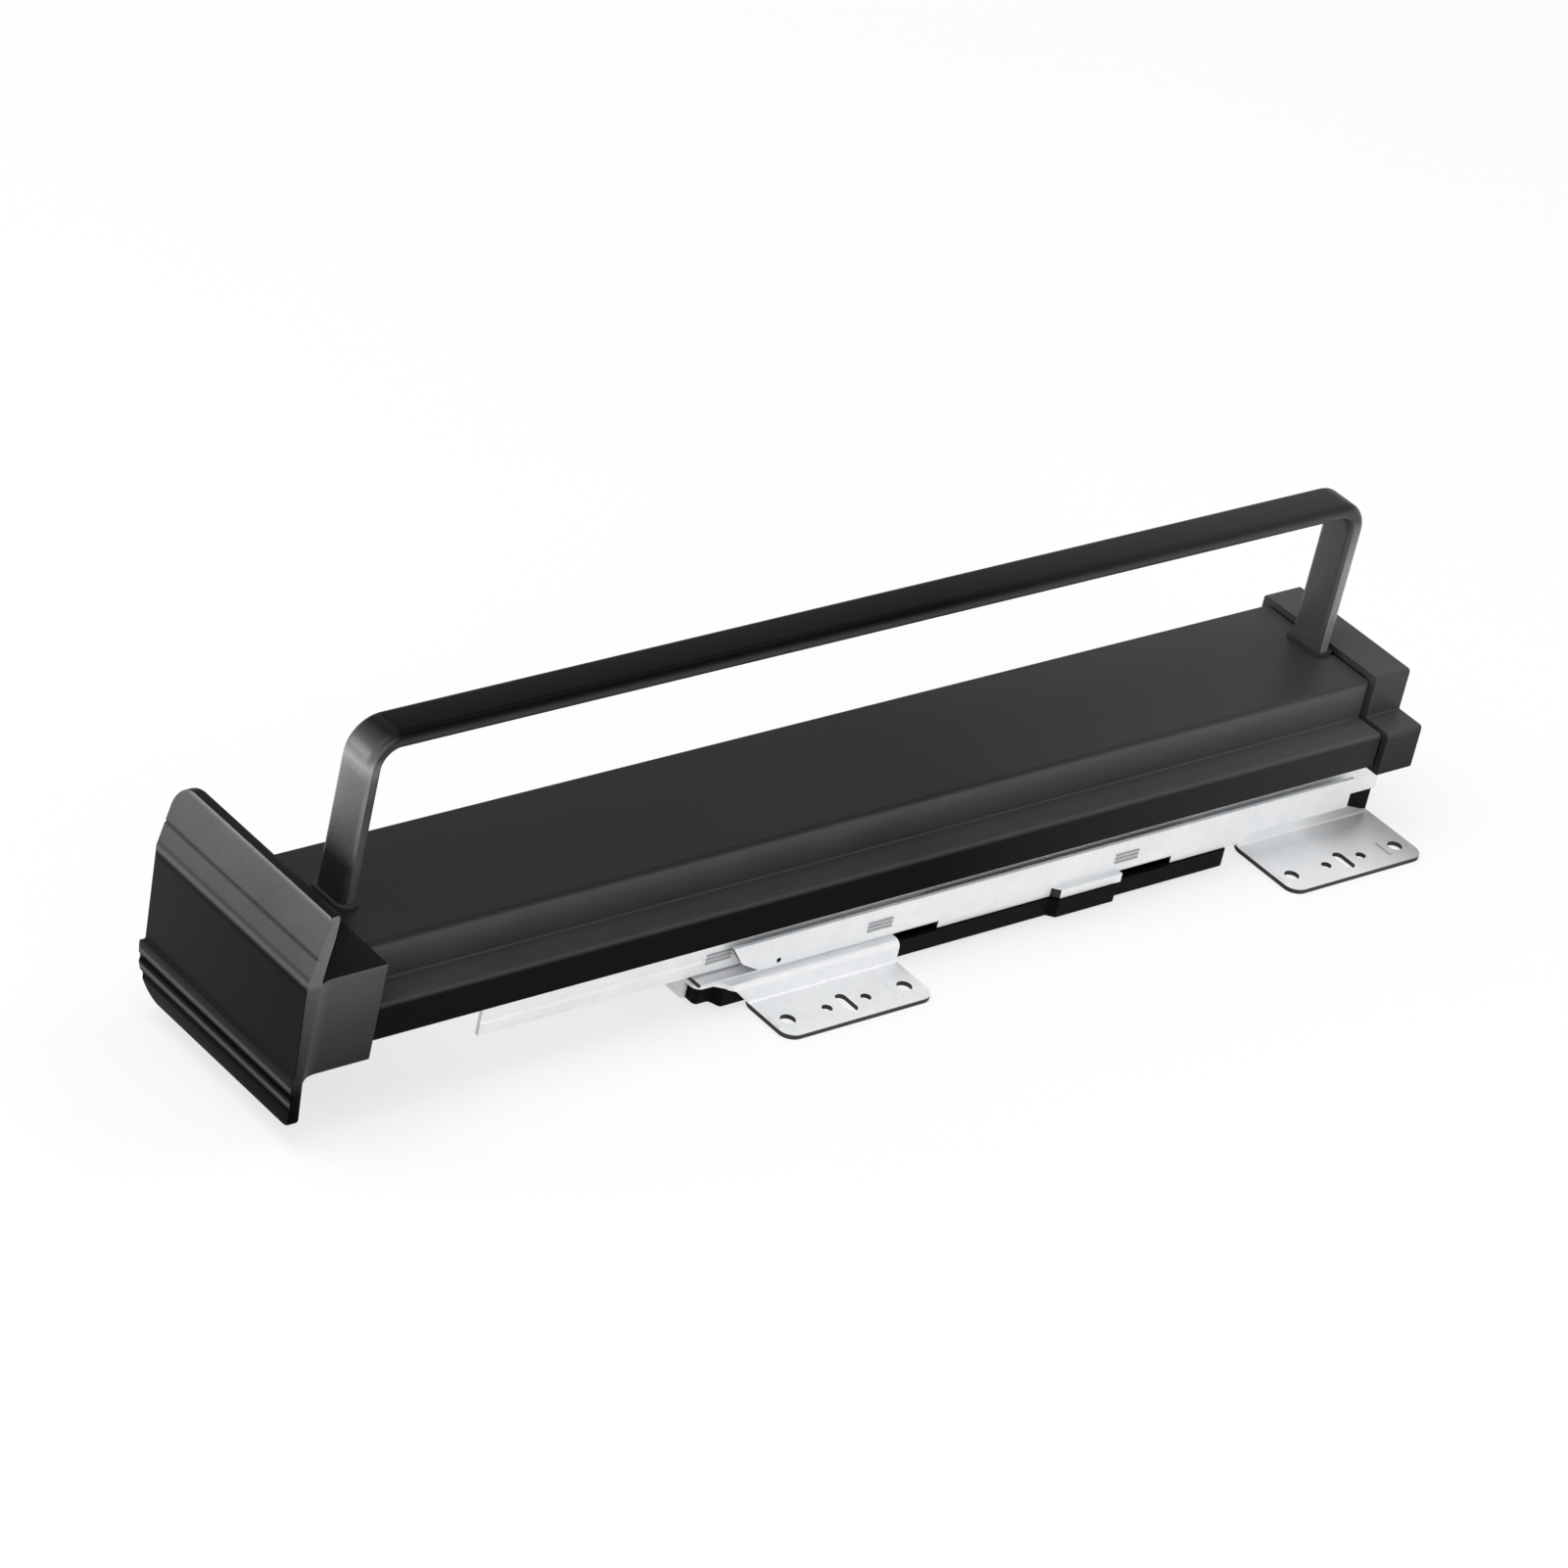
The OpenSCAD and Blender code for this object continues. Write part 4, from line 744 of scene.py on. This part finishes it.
def finish_mesh(name: str, bm: bmesh.types.BMesh, sharp: float = 30.0) -> bpy.types.Object:
    """Turn a bmesh into an object with smooth faces and sharp creases.

    Args:
        name: Name of the new object.
        bm: The mesh, which is freed.
        sharp: Angle in degrees above which an edge stays sharp.

    Returns:
        The new object, linked to the scene.
    """
    for face in bm.faces:
        face.smooth = True
    for edge in bm.edges:
        if len(edge.link_faces) == 2 and edge.calc_face_angle(0.0) > math.radians(sharp):
            edge.smooth = False
    data = bpy.data.meshes.new(name)
    bm.to_mesh(data)
    bm.free()
    made = bpy.data.objects.new(name, data)
    bpy.context.scene.collection.objects.link(made)
    return made


def between(table: list[Span], at: float) -> float:
    """Read a value from a table of places and values, straight between its rows.

    Args:
        table: Rising places with their values.
        at: The place to read.

    Returns:
        The value there.
    """
    if at <= table[0][0]:
        return table[0][1]
    for (a, u), (b, v) in zip(table, table[1:]):
        if at <= b:
            return u + (v - u) * (at - a) / (b - a)
    return table[-1][1]


@dataclass
class HangingBar:
    """Flat tube bent to a wide U that stands on its two legs.

    Attributes:
        width: Width of the tube across the rail, in metres.
        thick: Thickness of the tube.
        edge: Radius of the tube's edges.
        bend: Outer radius of both bends.
        bend_steps: Segments in each bend.
        edge_steps: Segments in each rounded edge.
        front_turn: Share of the normal above which a face of the front leg is its broad front.
        side_turn: The same for the near sides and for the rear leg's inner face.
        sharp: Angle in degrees above which an edge stays sharp.
    """

    width: float = 14 * MM
    thick: float = 6 * MM
    edge: float = 2.4 * MM
    bend: float = 12 * MM
    bend_steps: int = 28
    edge_steps: int = 7
    front_turn: float = 0.12
    side_turn: float = 0.35
    sharp: float = 50.0

    def route(self) -> list[tuple[Vector, Vector]]:
        """Middle line of the tube.

        Returns:
            Points with the direction that leads out of the bend there.
        """
        low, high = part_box("hanging_bar")
        half = self.thick / 2
        radius = self.bend - half
        front, rear, top = low.y + half, high.y - half, high.z - half
        line = [(Vector((0, front, low.z)), Vector((0, -1, 0)))]
        for i in range(self.bend_steps + 1):
            turn = math.radians(90 * i / self.bend_steps)
            out = Vector((0, -math.cos(turn), math.sin(turn)))
            line.append((Vector((0, front + radius, top - radius)) + radius * out, out))
        for i in range(self.bend_steps + 1):
            turn = math.radians(90 * i / self.bend_steps)
            out = Vector((0, math.sin(turn), math.cos(turn)))
            line.append((Vector((0, rear - radius, top - radius)) + radius * out, out))
        line.append((Vector((0, rear, low.z)), Vector((0, 1, 0))))
        return line

    def build(self) -> bpy.types.Object:
        """Sweep the tube along its route.

        Returns:
            The bar.
        """
        corner = Vector((self.width / 2, self.thick / 2))
        flat = rounded_ring(-corner, corner, self.edge, self.edge_steps)
        rings = [[spot + Vector((p.x, 0, 0)) + p.y * out for p in flat] for spot, out in self.route()]
        return loft("bar_tube", rings, self.sharp)

    def coat_of(self, straight: float, face: Face) -> Finish:
        """Choose the finish of one face.

        Args:
            straight: Height at which the legs go over into the bends.
            face: The face.

        Returns:
            The finish.
        """
        # Lit and shaded copies of one coat, chosen by the way a face looks: painted light and shade.
        front = face.center.y < 0
        if face.normal.y < -(self.front_turn if front else self.side_turn):
            return POWDER_FRONT if front else POWDER_INNER
        if face.normal.x > self.side_turn and face.center.z < straight:
            return POWDER_NEAR if front else POWDER_REAR_LIT
        return POWDER

    def dress(self) -> None:
        """Build the bar, coat it and put it in the CAD bar's place."""
        bar = self.build()
        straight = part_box("hanging_bar")[1].z - self.bend
        coats = (POWDER, POWDER_FRONT, POWDER_INNER, POWDER_NEAR, POWDER_REAR_LIT)
        coat(bar, coats, partial(self.coat_of, straight))
        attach(bar, "carriage")
        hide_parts("hanging_bar")
        dress(("front_grommet", "rear_grommet"), RUBBER)
        LOG.info("built bar_tube")


@dataclass
class FrontMoulding:
    """Grip plate and its hollow block, with soft edges and fine lines across the plate.

    Attributes:
        roof: Height of the housing's roof, in metres.
        rise: Height of the plate's top above the roof.
        foot: Height of the plate's lower edge.
        crease: Height of the crease above the roof.
        lip: Height of the proud lip above the lower edge.
        top_round: Radius of the upper far corner.
        far_round: Radius of the lower far corner.
        half: Half the plate's width.
        lip_wider: How far the lip stands out on the far side.
        groove: Depth of a fine line.
        plane: The plate's front plane.
        block_half: Half the block's width at the housing.
        block_end: Rear end of the block.
        block_rise: Height of the block's underside above the plate's foot.
        block_over: Height of the block's top above the roof.
        flare_len: Length over which the block eases into the plate's sides.
        fillet: Radius of the hollow between the plate's back and the block's underside.
        block_root: How far behind the front plane the block starts inside the plate.
        fillet_root: How far behind the front plane the hollow starts.
        tuck: How far the block's root stays inside the plate's sides.
        block_edge: Radius of the block's edges.
        plate_edge: Radius of the plate's edges.
        edge_steps: Segments in each rounded edge.
        near_top: Radius of the upper near corner.
        near_foot: Radius of the lower near corner.
        lip_ease: Half the height over which the lip's side steps out.
        side_turn: Share of the normal above which a face belongs to a side.
        front_turn: The same for the plate's front.
        lines: Height and half width of each fine line.
        corner_rows: Rows of the loft in each rounded corner.
        plate_rows: Rows of the loft over the plate's height.
        line_rows: Rows to either side of each fine line, the crease and the lip.
        line_step_mm: Distance between those rows, in millimetres.
        row_gap: Distance under which a row is left out.
        inset: How far the first and the last row lie inside the plate's height.
        block_rows: Rows of the block's loft.
        sharp: Angle in degrees above which an edge stays sharp.
        front_table: Mark, height above it and place of the plate's front there, in millimetres.
        back_table: The same for the plate's back.
    """

    roof: float = 56.9 * MM
    rise: float = 25 * MM
    foot: float = 7.9 * MM
    crease: float = 2.6 * MM
    lip: float = 17 * MM
    top_round: float = 8.5 * MM
    far_round: float = 12 * MM
    half: float = 39.3 * MM
    lip_wider: float = 1.2 * MM
    groove: float = 0.6 * MM
    plane: float = -213 * MM
    block_half: float = 37.1 * MM
    block_end: float = -184.05 * MM
    block_rise: float = 15.4 * MM
    block_over: float = 0.9 * MM
    flare_len: float = 7 * MM
    fillet: float = 3 * MM
    block_root: float = 2.6 * MM
    fillet_root: float = 3.4 * MM
    tuck: float = 0.1 * MM
    block_edge: float = 0.8 * MM
    plate_edge: float = 0.7 * MM
    edge_steps: int = 4
    near_top: float = 1.8 * MM
    near_foot: float = 2.0 * MM
    lip_ease: float = 0.4 * MM
    side_turn: float = 0.6
    front_turn: float = 0.3
    lines: tuple[Span, ...] = ((67.9 * MM, 0.5 * MM), (18.9 * MM, 1.6 * MM), (13.6 * MM, 1.2 * MM))
    corner_rows: int = 24
    plate_rows: int = 39
    line_rows: int = 8
    line_step_mm: float = 0.2
    row_gap: float = 0.02 * MM
    inset: float = 0.01 * MM
    block_rows: int = 24
    sharp: float = 40.0
    front_table: Marked = (
        ("foot", 0.0, 0.9), ("lip", -0.5, -1.1), ("lip", 0.2, -0.9), ("lip", 1.1, 0.0),
        ("crease", -1.2, -2.1), ("crease", 0.0, -2.3), ("crease", 1.2, -2.05), ("top", 0.0, 2.3),
    )
    back_table: Marked = (
        ("foot", 0.0, 4.9), ("foot", 15.0, 3.6), ("crease", 1.0, 3.6), ("crease", 8.0, 4.4),
        ("crease", 15.0, 5.3), ("top", 0.0, 5.7),
    )

    def read(self, table: Marked, z: float) -> float:
        """Read one of the plate's tables.

        Args:
            table: The table.
            z: Height above the mounting face.

        Returns:
            Distance behind the front plane, in metres.
        """
        marks = {
            "foot": self.foot,
            "lip": self.foot + self.lip,
            "crease": self.roof + self.crease,
            "top": self.roof + self.rise,
        }
        return between([(marks[mark] + up * MM, away) for mark, up, away in table], z) * MM

    def faces_at(self, z: float) -> tuple[float, float]:
        """Front and back of the plate at a height, as distances behind the front plane.

        Args:
            z: Height above the mounting face.

        Returns:
            Front and back, in metres.
        """
        groove = 0.0
        for line, reach in self.lines:
            groove = max(groove, self.groove * max(0.0, 1 - ((z - line) / reach) ** 2))
        return self.read(self.front_table, z) + groove, self.read(self.back_table, z)

    def sides_at(self, z: float) -> tuple[float, float]:
        """Far and near side of the plate at a height.

        Args:
            z: Height above the mounting face.

        Returns:
            The two x values, in metres.
        """
        top, lip = self.roof + self.rise, self.foot + self.lip
        wider = self.lip_wider * min(1.0, max(0.0, (lip + self.lip_ease - z) / (2 * self.lip_ease)))
        far, near = -self.half - wider, self.half
        for gap, radius in ((top - z, self.top_round), (z - self.foot, self.far_round)):
            if gap < radius:
                far += radius - math.sqrt(max(0.0, radius * radius - (radius - gap) ** 2))
        for gap, radius in ((top - z, self.near_top), (z - self.foot, self.near_foot)):
            if gap < radius:
                near -= radius - math.sqrt(max(0.0, radius * radius - (radius - gap) ** 2))
        return far, near

    def heights(self) -> list[float]:
        """Rows of the loft, closer together at the rounded corners and fine lines.

        Returns:
            Heights in rising order.
        """
        top, rows = self.roof + self.rise, set()
        for i in range(self.corner_rows + 1):
            share = 1 - math.cos(math.radians(90 * i / self.corner_rows))
            rows |= {self.foot + self.far_round * share, top - self.top_round * share}
        for i in range(self.plate_rows + 1):
            rows.add(self.foot + (top - self.foot) * i / self.plate_rows)
        for line in [*(line for line, _ in self.lines), self.roof + self.crease, self.foot + self.lip]:
            for i in range(-self.line_rows, self.line_rows + 1):
                rows.add(line + i * self.line_step_mm * MM)
        kept = []
        for z in sorted(rows):
            if self.foot <= z <= top and (not kept or z - kept[-1] > self.row_gap):
                kept.append(z)
        kept[0], kept[-1] = self.foot + self.inset, top - self.inset
        return kept

    def block_ring(self, share: float) -> list[Vector]:
        """Outline of the block behind the plate, which flares into the plate's sides and back.

        Args:
            share: 0 inside the plate, 1 at the housing.

        Returns:
            The outline's points.
        """
        start, end = self.plane + self.block_root, self.block_end
        y = start + (end - start) * share**2
        ease = max(0.0, 1 - (y - start) / self.flare_len) ** 2
        bend = max(0.0, 1 - max(0.0, y - self.plane - self.fillet_root) / self.fillet)
        drop = self.fillet * (1 - math.sqrt(1 - bend * bend))
        wide = self.block_half + (self.half - self.tuck - self.block_half) * ease
        low = Vector((-wide, self.foot + self.block_rise - drop))
        high = Vector((wide, self.roof + self.block_over))
        ring = rounded_ring(low, high, self.block_edge, self.edge_steps)
        return [Vector((p.x, y, p.y)) for p in ring]

    def build(self) -> list[bpy.types.Object]:
        """Loft the plate and build the block behind it.

        Returns:
            The plate and the block.
        """
        rings = []
        for z in self.heights():
            front, back = self.faces_at(z)
            far, near = self.sides_at(z)
            low, high = Vector((far, self.plane + front)), Vector((near, self.plane + back))
            ring = rounded_ring(low, high, self.plate_edge, self.edge_steps)
            rings.append([Vector((p.x, p.y, z)) for p in ring])
        plate = loft("panel_plate", rings, self.sharp)
        rings = [self.block_ring(i / self.block_rows) for i in range(self.block_rows + 1)]
        return [plate, loft("panel_block", rings, self.sharp)]

    def paint_of(self, name: str, face: Face) -> Finish:
        """Choose the finish of one face.

        Args:
            name: The piece's name.
            face: The face.

        Returns:
            The finish.
        """
        # Sides, front and back get lit and shaded copies of one paint: painted light and shade.
        if abs(face.normal.x) > self.side_turn:
            return ABS_SIDE
        if name == "panel_plate" and face.normal.y < -self.front_turn:
            return ABS
        return ABS_BACK

    def dress(self) -> None:
        """Build the moulding, paint it and put it in the CAD moulding's place."""
        for piece in self.build():
            coat(piece, (ABS, ABS_SIDE, ABS_BACK), partial(self.paint_of, piece.name))
            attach(piece, "carriage")
            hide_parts("front_panel")
            LOG.info("built %s", piece.name)


@dataclass
class Housing:
    """Extruded channel with its rear cap and the rail screwed under it.

    Attributes:
        black: The anodised profile.
        caps: The rear cap.
        rails: The rail under the divider.
        screws: Screws of the carriage.
        cap_front: Where the cap's front wall stands along the rail.
        rim_len: How far the rim draws that wall forward.
        wall_turn: Share of the normal above which a face of the cap looks forward.
        wall_reach: How far from the front wall's place such a face may lie.
    """

    black: Names = ("housing_channel",)
    caps: Names = ("rear_cap",)
    rails: Names = ("inner_rail",)
    screws: Names = ("inner_rail_screws", "bar_screws", "panel_screws", "cap_screws")
    cap_front: float = 232.2 * MM
    rim_len: float = 0.9 * MM
    wall_turn: float = 0.99
    wall_reach: float = 0.1 * MM

    def build_rim(self) -> bpy.types.Object:
        """Draw the cap's front wall forward by a thin rim, so that only a fine seam stays open.

        Returns:
            The rim.
        """
        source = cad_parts[self.caps[0]].data
        bm = bmesh.new()
        made: dict[int, bmesh.types.BMVert] = {}
        for face in source.polygons:
            if face.normal.y >= -self.wall_turn:
                continue
            if abs(face.center.y - self.cap_front) >= self.wall_reach:
                continue
            for i in face.vertices:
                if i not in made:
                    made[i] = bm.verts.new(source.vertices[i].co)
            bm.faces.new([made[i] for i in face.vertices])
        grown = bmesh.ops.extrude_face_region(bm, geom=list(bm.faces))
        for item in grown["geom"]:
            if isinstance(item, bmesh.types.BMVert):
                item.co.y -= self.rim_len
        bmesh.ops.recalc_face_normals(bm, faces=bm.faces)
        LOG.info("built cap_rim from %d corners", len(made))
        return finish_mesh("cap_rim", bm)

    def dress(self) -> None:
        """Give profile, cap, inner rail and screws their finishes, and add the rim."""
        dress(self.black, ANODISED)
        dress(self.caps, CAP_NYLON)
        rim = self.build_rim()
        rim.data.materials.append(CAP_NYLON.material())
        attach(rim, "carriage")
        dress(self.rails, GALVANISED)
        dress(self.screws, PLATED)


@dataclass
class SlideRails:
    """Plates, fixed rail, middle rail and the ball strips between them.

    Attributes:
        sheet: Pieces of plain galvanised sheet.
        dark_reflected: The plate with a painted dark reflection toward its rear end.
        plates: Pieces whose thin outline shows the cut.
        fixed: The rail whose ends show the cut.
        rib_crowns: Each ribbed rail, with its ribs' distance from the middle plane.
        rib_proud: How far inside their crowns the ribs' flanks start.
        rib_slack: How far outside its crown a rib's face may lie.
        rib_low: Height above which the ribs lie.
        plate_t: Height below which a plate's face belongs to its outline.
        turned: Share of a normal above which a face counts as turned that way.
        bright: Zinc-plated pieces.
        strips: Ball strips.
    """

    sheet: Names = ("fixed_rail", "front_bracket", "middle_rail_lower", "middle_rail_upper")
    dark_reflected: Names = ("rear_bracket",)
    plates: Names = ("front_bracket", "rear_bracket")
    fixed: Names = ("fixed_rail",)
    rib_crowns: tuple[tuple[str, float], ...] = (
        ("fixed_rail", 31.4 * MM),
        ("middle_rail_lower", 27.0 * MM),
    )
    rib_proud: float = 0.38 * MM
    rib_slack: float = 0.05 * MM
    rib_low: float = 12 * MM
    plate_t: float = 1.7 * MM
    turned: float = 0.3
    bright: Names = ("bracket_rivets", "middle_rivets", "lower_balls", "upper_balls")
    strips: Names = ("lower_ball_cage", "upper_ball_cage")

    def on_plate_cut(self, face: Face) -> bool:
        """Tell whether a face belongs to the cut outline of a plate or to a hole in it.

        Args:
            face: The face.

        Returns:
            True for upright faces of the flange.
        """
        return abs(face.normal.z) < self.turned and face.center.z < self.plate_t

    def on_rib(self, crown: float, face: Face) -> bool:
        """Tell whether a face belongs to a rib pressed out of a rail's side.

        Args:
            crown: Distance of the ribs' crowns from the middle plane.
            face: The face.

        Returns:
            True for the crown and the flanks of a rib.
        """
        out = abs(face.center.x)
        return crown - self.rib_proud < out < crown + self.rib_slack and face.center.z > self.rib_low

    def dress(self) -> None:
        """Give plates, rails and ball strips their finishes, and cuts and ribs their own."""
        dress(self.sheet, GALVANISED)
        # The rear plate takes the zinc with the painted dark reflection.
        dress(self.dark_reflected, DARK_REFLECTED_ZINC)
        # Cut faces of the plates and the fixed rail's ends: bare cut steel with painted shade, near
        # black.
        pick_faces(self.plates, SHEARED_SHADED, self.on_plate_cut)
        pick_faces(self.fixed, SHEARED_SHADED, lambda face: abs(face.normal.y) > self.turned)
        for name, crown in self.rib_crowns:
            pick_faces((name,), RIB_GREY, partial(self.on_rib, crown))
        dress(self.bright, PLATED)
        dress(self.strips, PASSIVATED)


@dataclass
class ClosingUnit:
    """Damper tray with its damper, spring and catch, and the stop behind the rail.

    Attributes:
        plastic: Moulded nylon pieces.
        bright: Zinc-plated pieces.
    """

    plastic: Names = (
        "damper_tray", "damper_cylinder", "closer_catch", "rear_stop", "closer_striker"
    )
    bright: Names = ("tray_screws", "damper_rod", "closer_spring", "stop_screws")

    def dress(self) -> None:
        """Give the closing unit and the rear stop their finishes."""
        dress(self.plastic, NYLON)
        dress(self.bright, PLATED)
        dress(("stop_buffer",), RUBBER)


@dataclass(frozen=True)
class Lamp:
    """One soft lamp that faces the object.

    Attributes:
        name: Name of the lamp.
        place: Where it hangs, in metres.
        wide: Its width.
        tall: Its height.
        watts: Its power.
    """

    name: str
    place: tuple[float, float, float]
    wide: float
    tall: float
    watts: float

    def hang(self, aim: Vector) -> None:
        """Add the lamp to the scene.

        Args:
            aim: The point that it faces.
        """
        data = bpy.data.lights.new(self.name, "AREA")
        data.shape, data.energy = "RECTANGLE", self.watts
        data.size, data.size_y = self.wide, self.tall
        lamp = bpy.data.objects.new(self.name, data)
        lamp.location = self.place
        lamp.rotation_mode = "QUATERNION"
        lamp.rotation_quaternion = (aim - lamp.location).to_track_quat("-Z", "Y")
        bpy.context.scene.collection.objects.link(lamp)


@dataclass
class Studio:
    """Pale floor, soft lamps and the camera at the photograph's angle.

    Attributes:
        eye: Place of the camera, in metres.
        right: Direction to the image's right.
        up: Direction to the image's top.
        lens_mm: Focal length.
        sensor_mm: Width of the sensor.
        clip: Nearest and farthest distance that the camera sees.
        floor_half: Half the width of the floor.
        floor_drop: How far the floor lies under the plates.
        sky: Strength of the even light from all round.
        aim: The point that the lamps face.
        lamps: The lamps.
    """

    eye: Vector = field(default_factory=lambda: Vector((1.2640, -1.3029, 1.1359)))
    right: Vector = field(default_factory=lambda: Vector((0.6157, 0.7627, 0.1980)))
    up: Vector = field(default_factory=lambda: Vector((-0.5124, 0.1966, 0.8359)))
    lens_mm: float = 155.34
    sensor_mm: float = 36.0
    clip: Span = (0.05, 40.0)
    floor_half: float = 6.0
    floor_drop: float = 0.1 * MM
    sky: float = 0.5
    aim: Vector = field(default_factory=lambda: Vector((0, 0, 0.05)))
    lamps: tuple[Lamp, ...] = (
        Lamp("key_lamp", (-0.2, -0.8, 2.1), 1.6, 1.6, 26.0),
        Lamp("front_lamp", (-0.96, -1.47, 0.35), 0.9, 0.5, 8.0),
        Lamp("side_lamp", (1.5, 0.2, 0.5), 0.8, 0.5, 6.0),
        Lamp("rear_lamp", (0.27, 1.0, 1.55), 1.0, 0.25, 5.0),
    )

    def camera(self) -> None:
        """Set up the camera."""
        data = bpy.data.cameras.new("camera")
        data.lens, data.sensor_width, data.sensor_fit = self.lens_mm, self.sensor_mm, "HORIZONTAL"
        data.clip_start, data.clip_end = self.clip
        eye = bpy.data.objects.new("camera", data)
        right = self.right.normalized()
        back = right.cross(self.up).normalized()
        up = back.cross(right)
        turn = Matrix((right, up, back)).transposed().to_4x4()
        eye.matrix_world = Matrix.Translation(self.eye) @ turn
        bpy.context.scene.collection.objects.link(eye)
        bpy.context.scene.camera = eye

    def world(self) -> None:
        """White to the camera and in reflections, an even soft light otherwise."""
        world = bpy.data.worlds.new("soft_room")
        bpy.context.scene.world = world
        world.use_nodes = True
        tree = world.node_tree
        tree.nodes.clear()
        strength = ranged(tree, seen_directly(tree), wanted=(self.sky, 1.0))
        light = add(tree, "ShaderNodeBackground", {}, {"Color": linear(WHITE), "Strength": strength})
        add(tree, "ShaderNodeOutputWorld", {}, {"Surface": light.outputs["Background"]})

    def floor(self) -> None:
        """Lay the pale floor under the plates."""
        bm = bmesh.new()
        bmesh.ops.create_grid(bm, x_segments=2, y_segments=2, size=self.floor_half)
        for vert in bm.verts:
            vert.co.z = -self.floor_drop
        ground = finish_mesh("floor", bm)
        ground.data.materials.append(FLOOR_PAINT.material())

    def build(self) -> None:
        """Set up floor, light and camera."""
        self.floor()
        self.world()
        for lamp in self.lamps:
            lamp.hang(self.aim)
        self.camera()
        bpy.context.scene.view_settings.view_transform = "Standard"


def main() -> None:
    """Build every part of the scene in order."""
    logging.basicConfig(level=logging.INFO, format="%(message)s")
    SlideRails().dress()
    ClosingUnit().dress()
    Housing().dress()
    HangingBar().dress()
    FrontMoulding().dress()
    Studio().build()


if __name__ == "__main__":
    main()
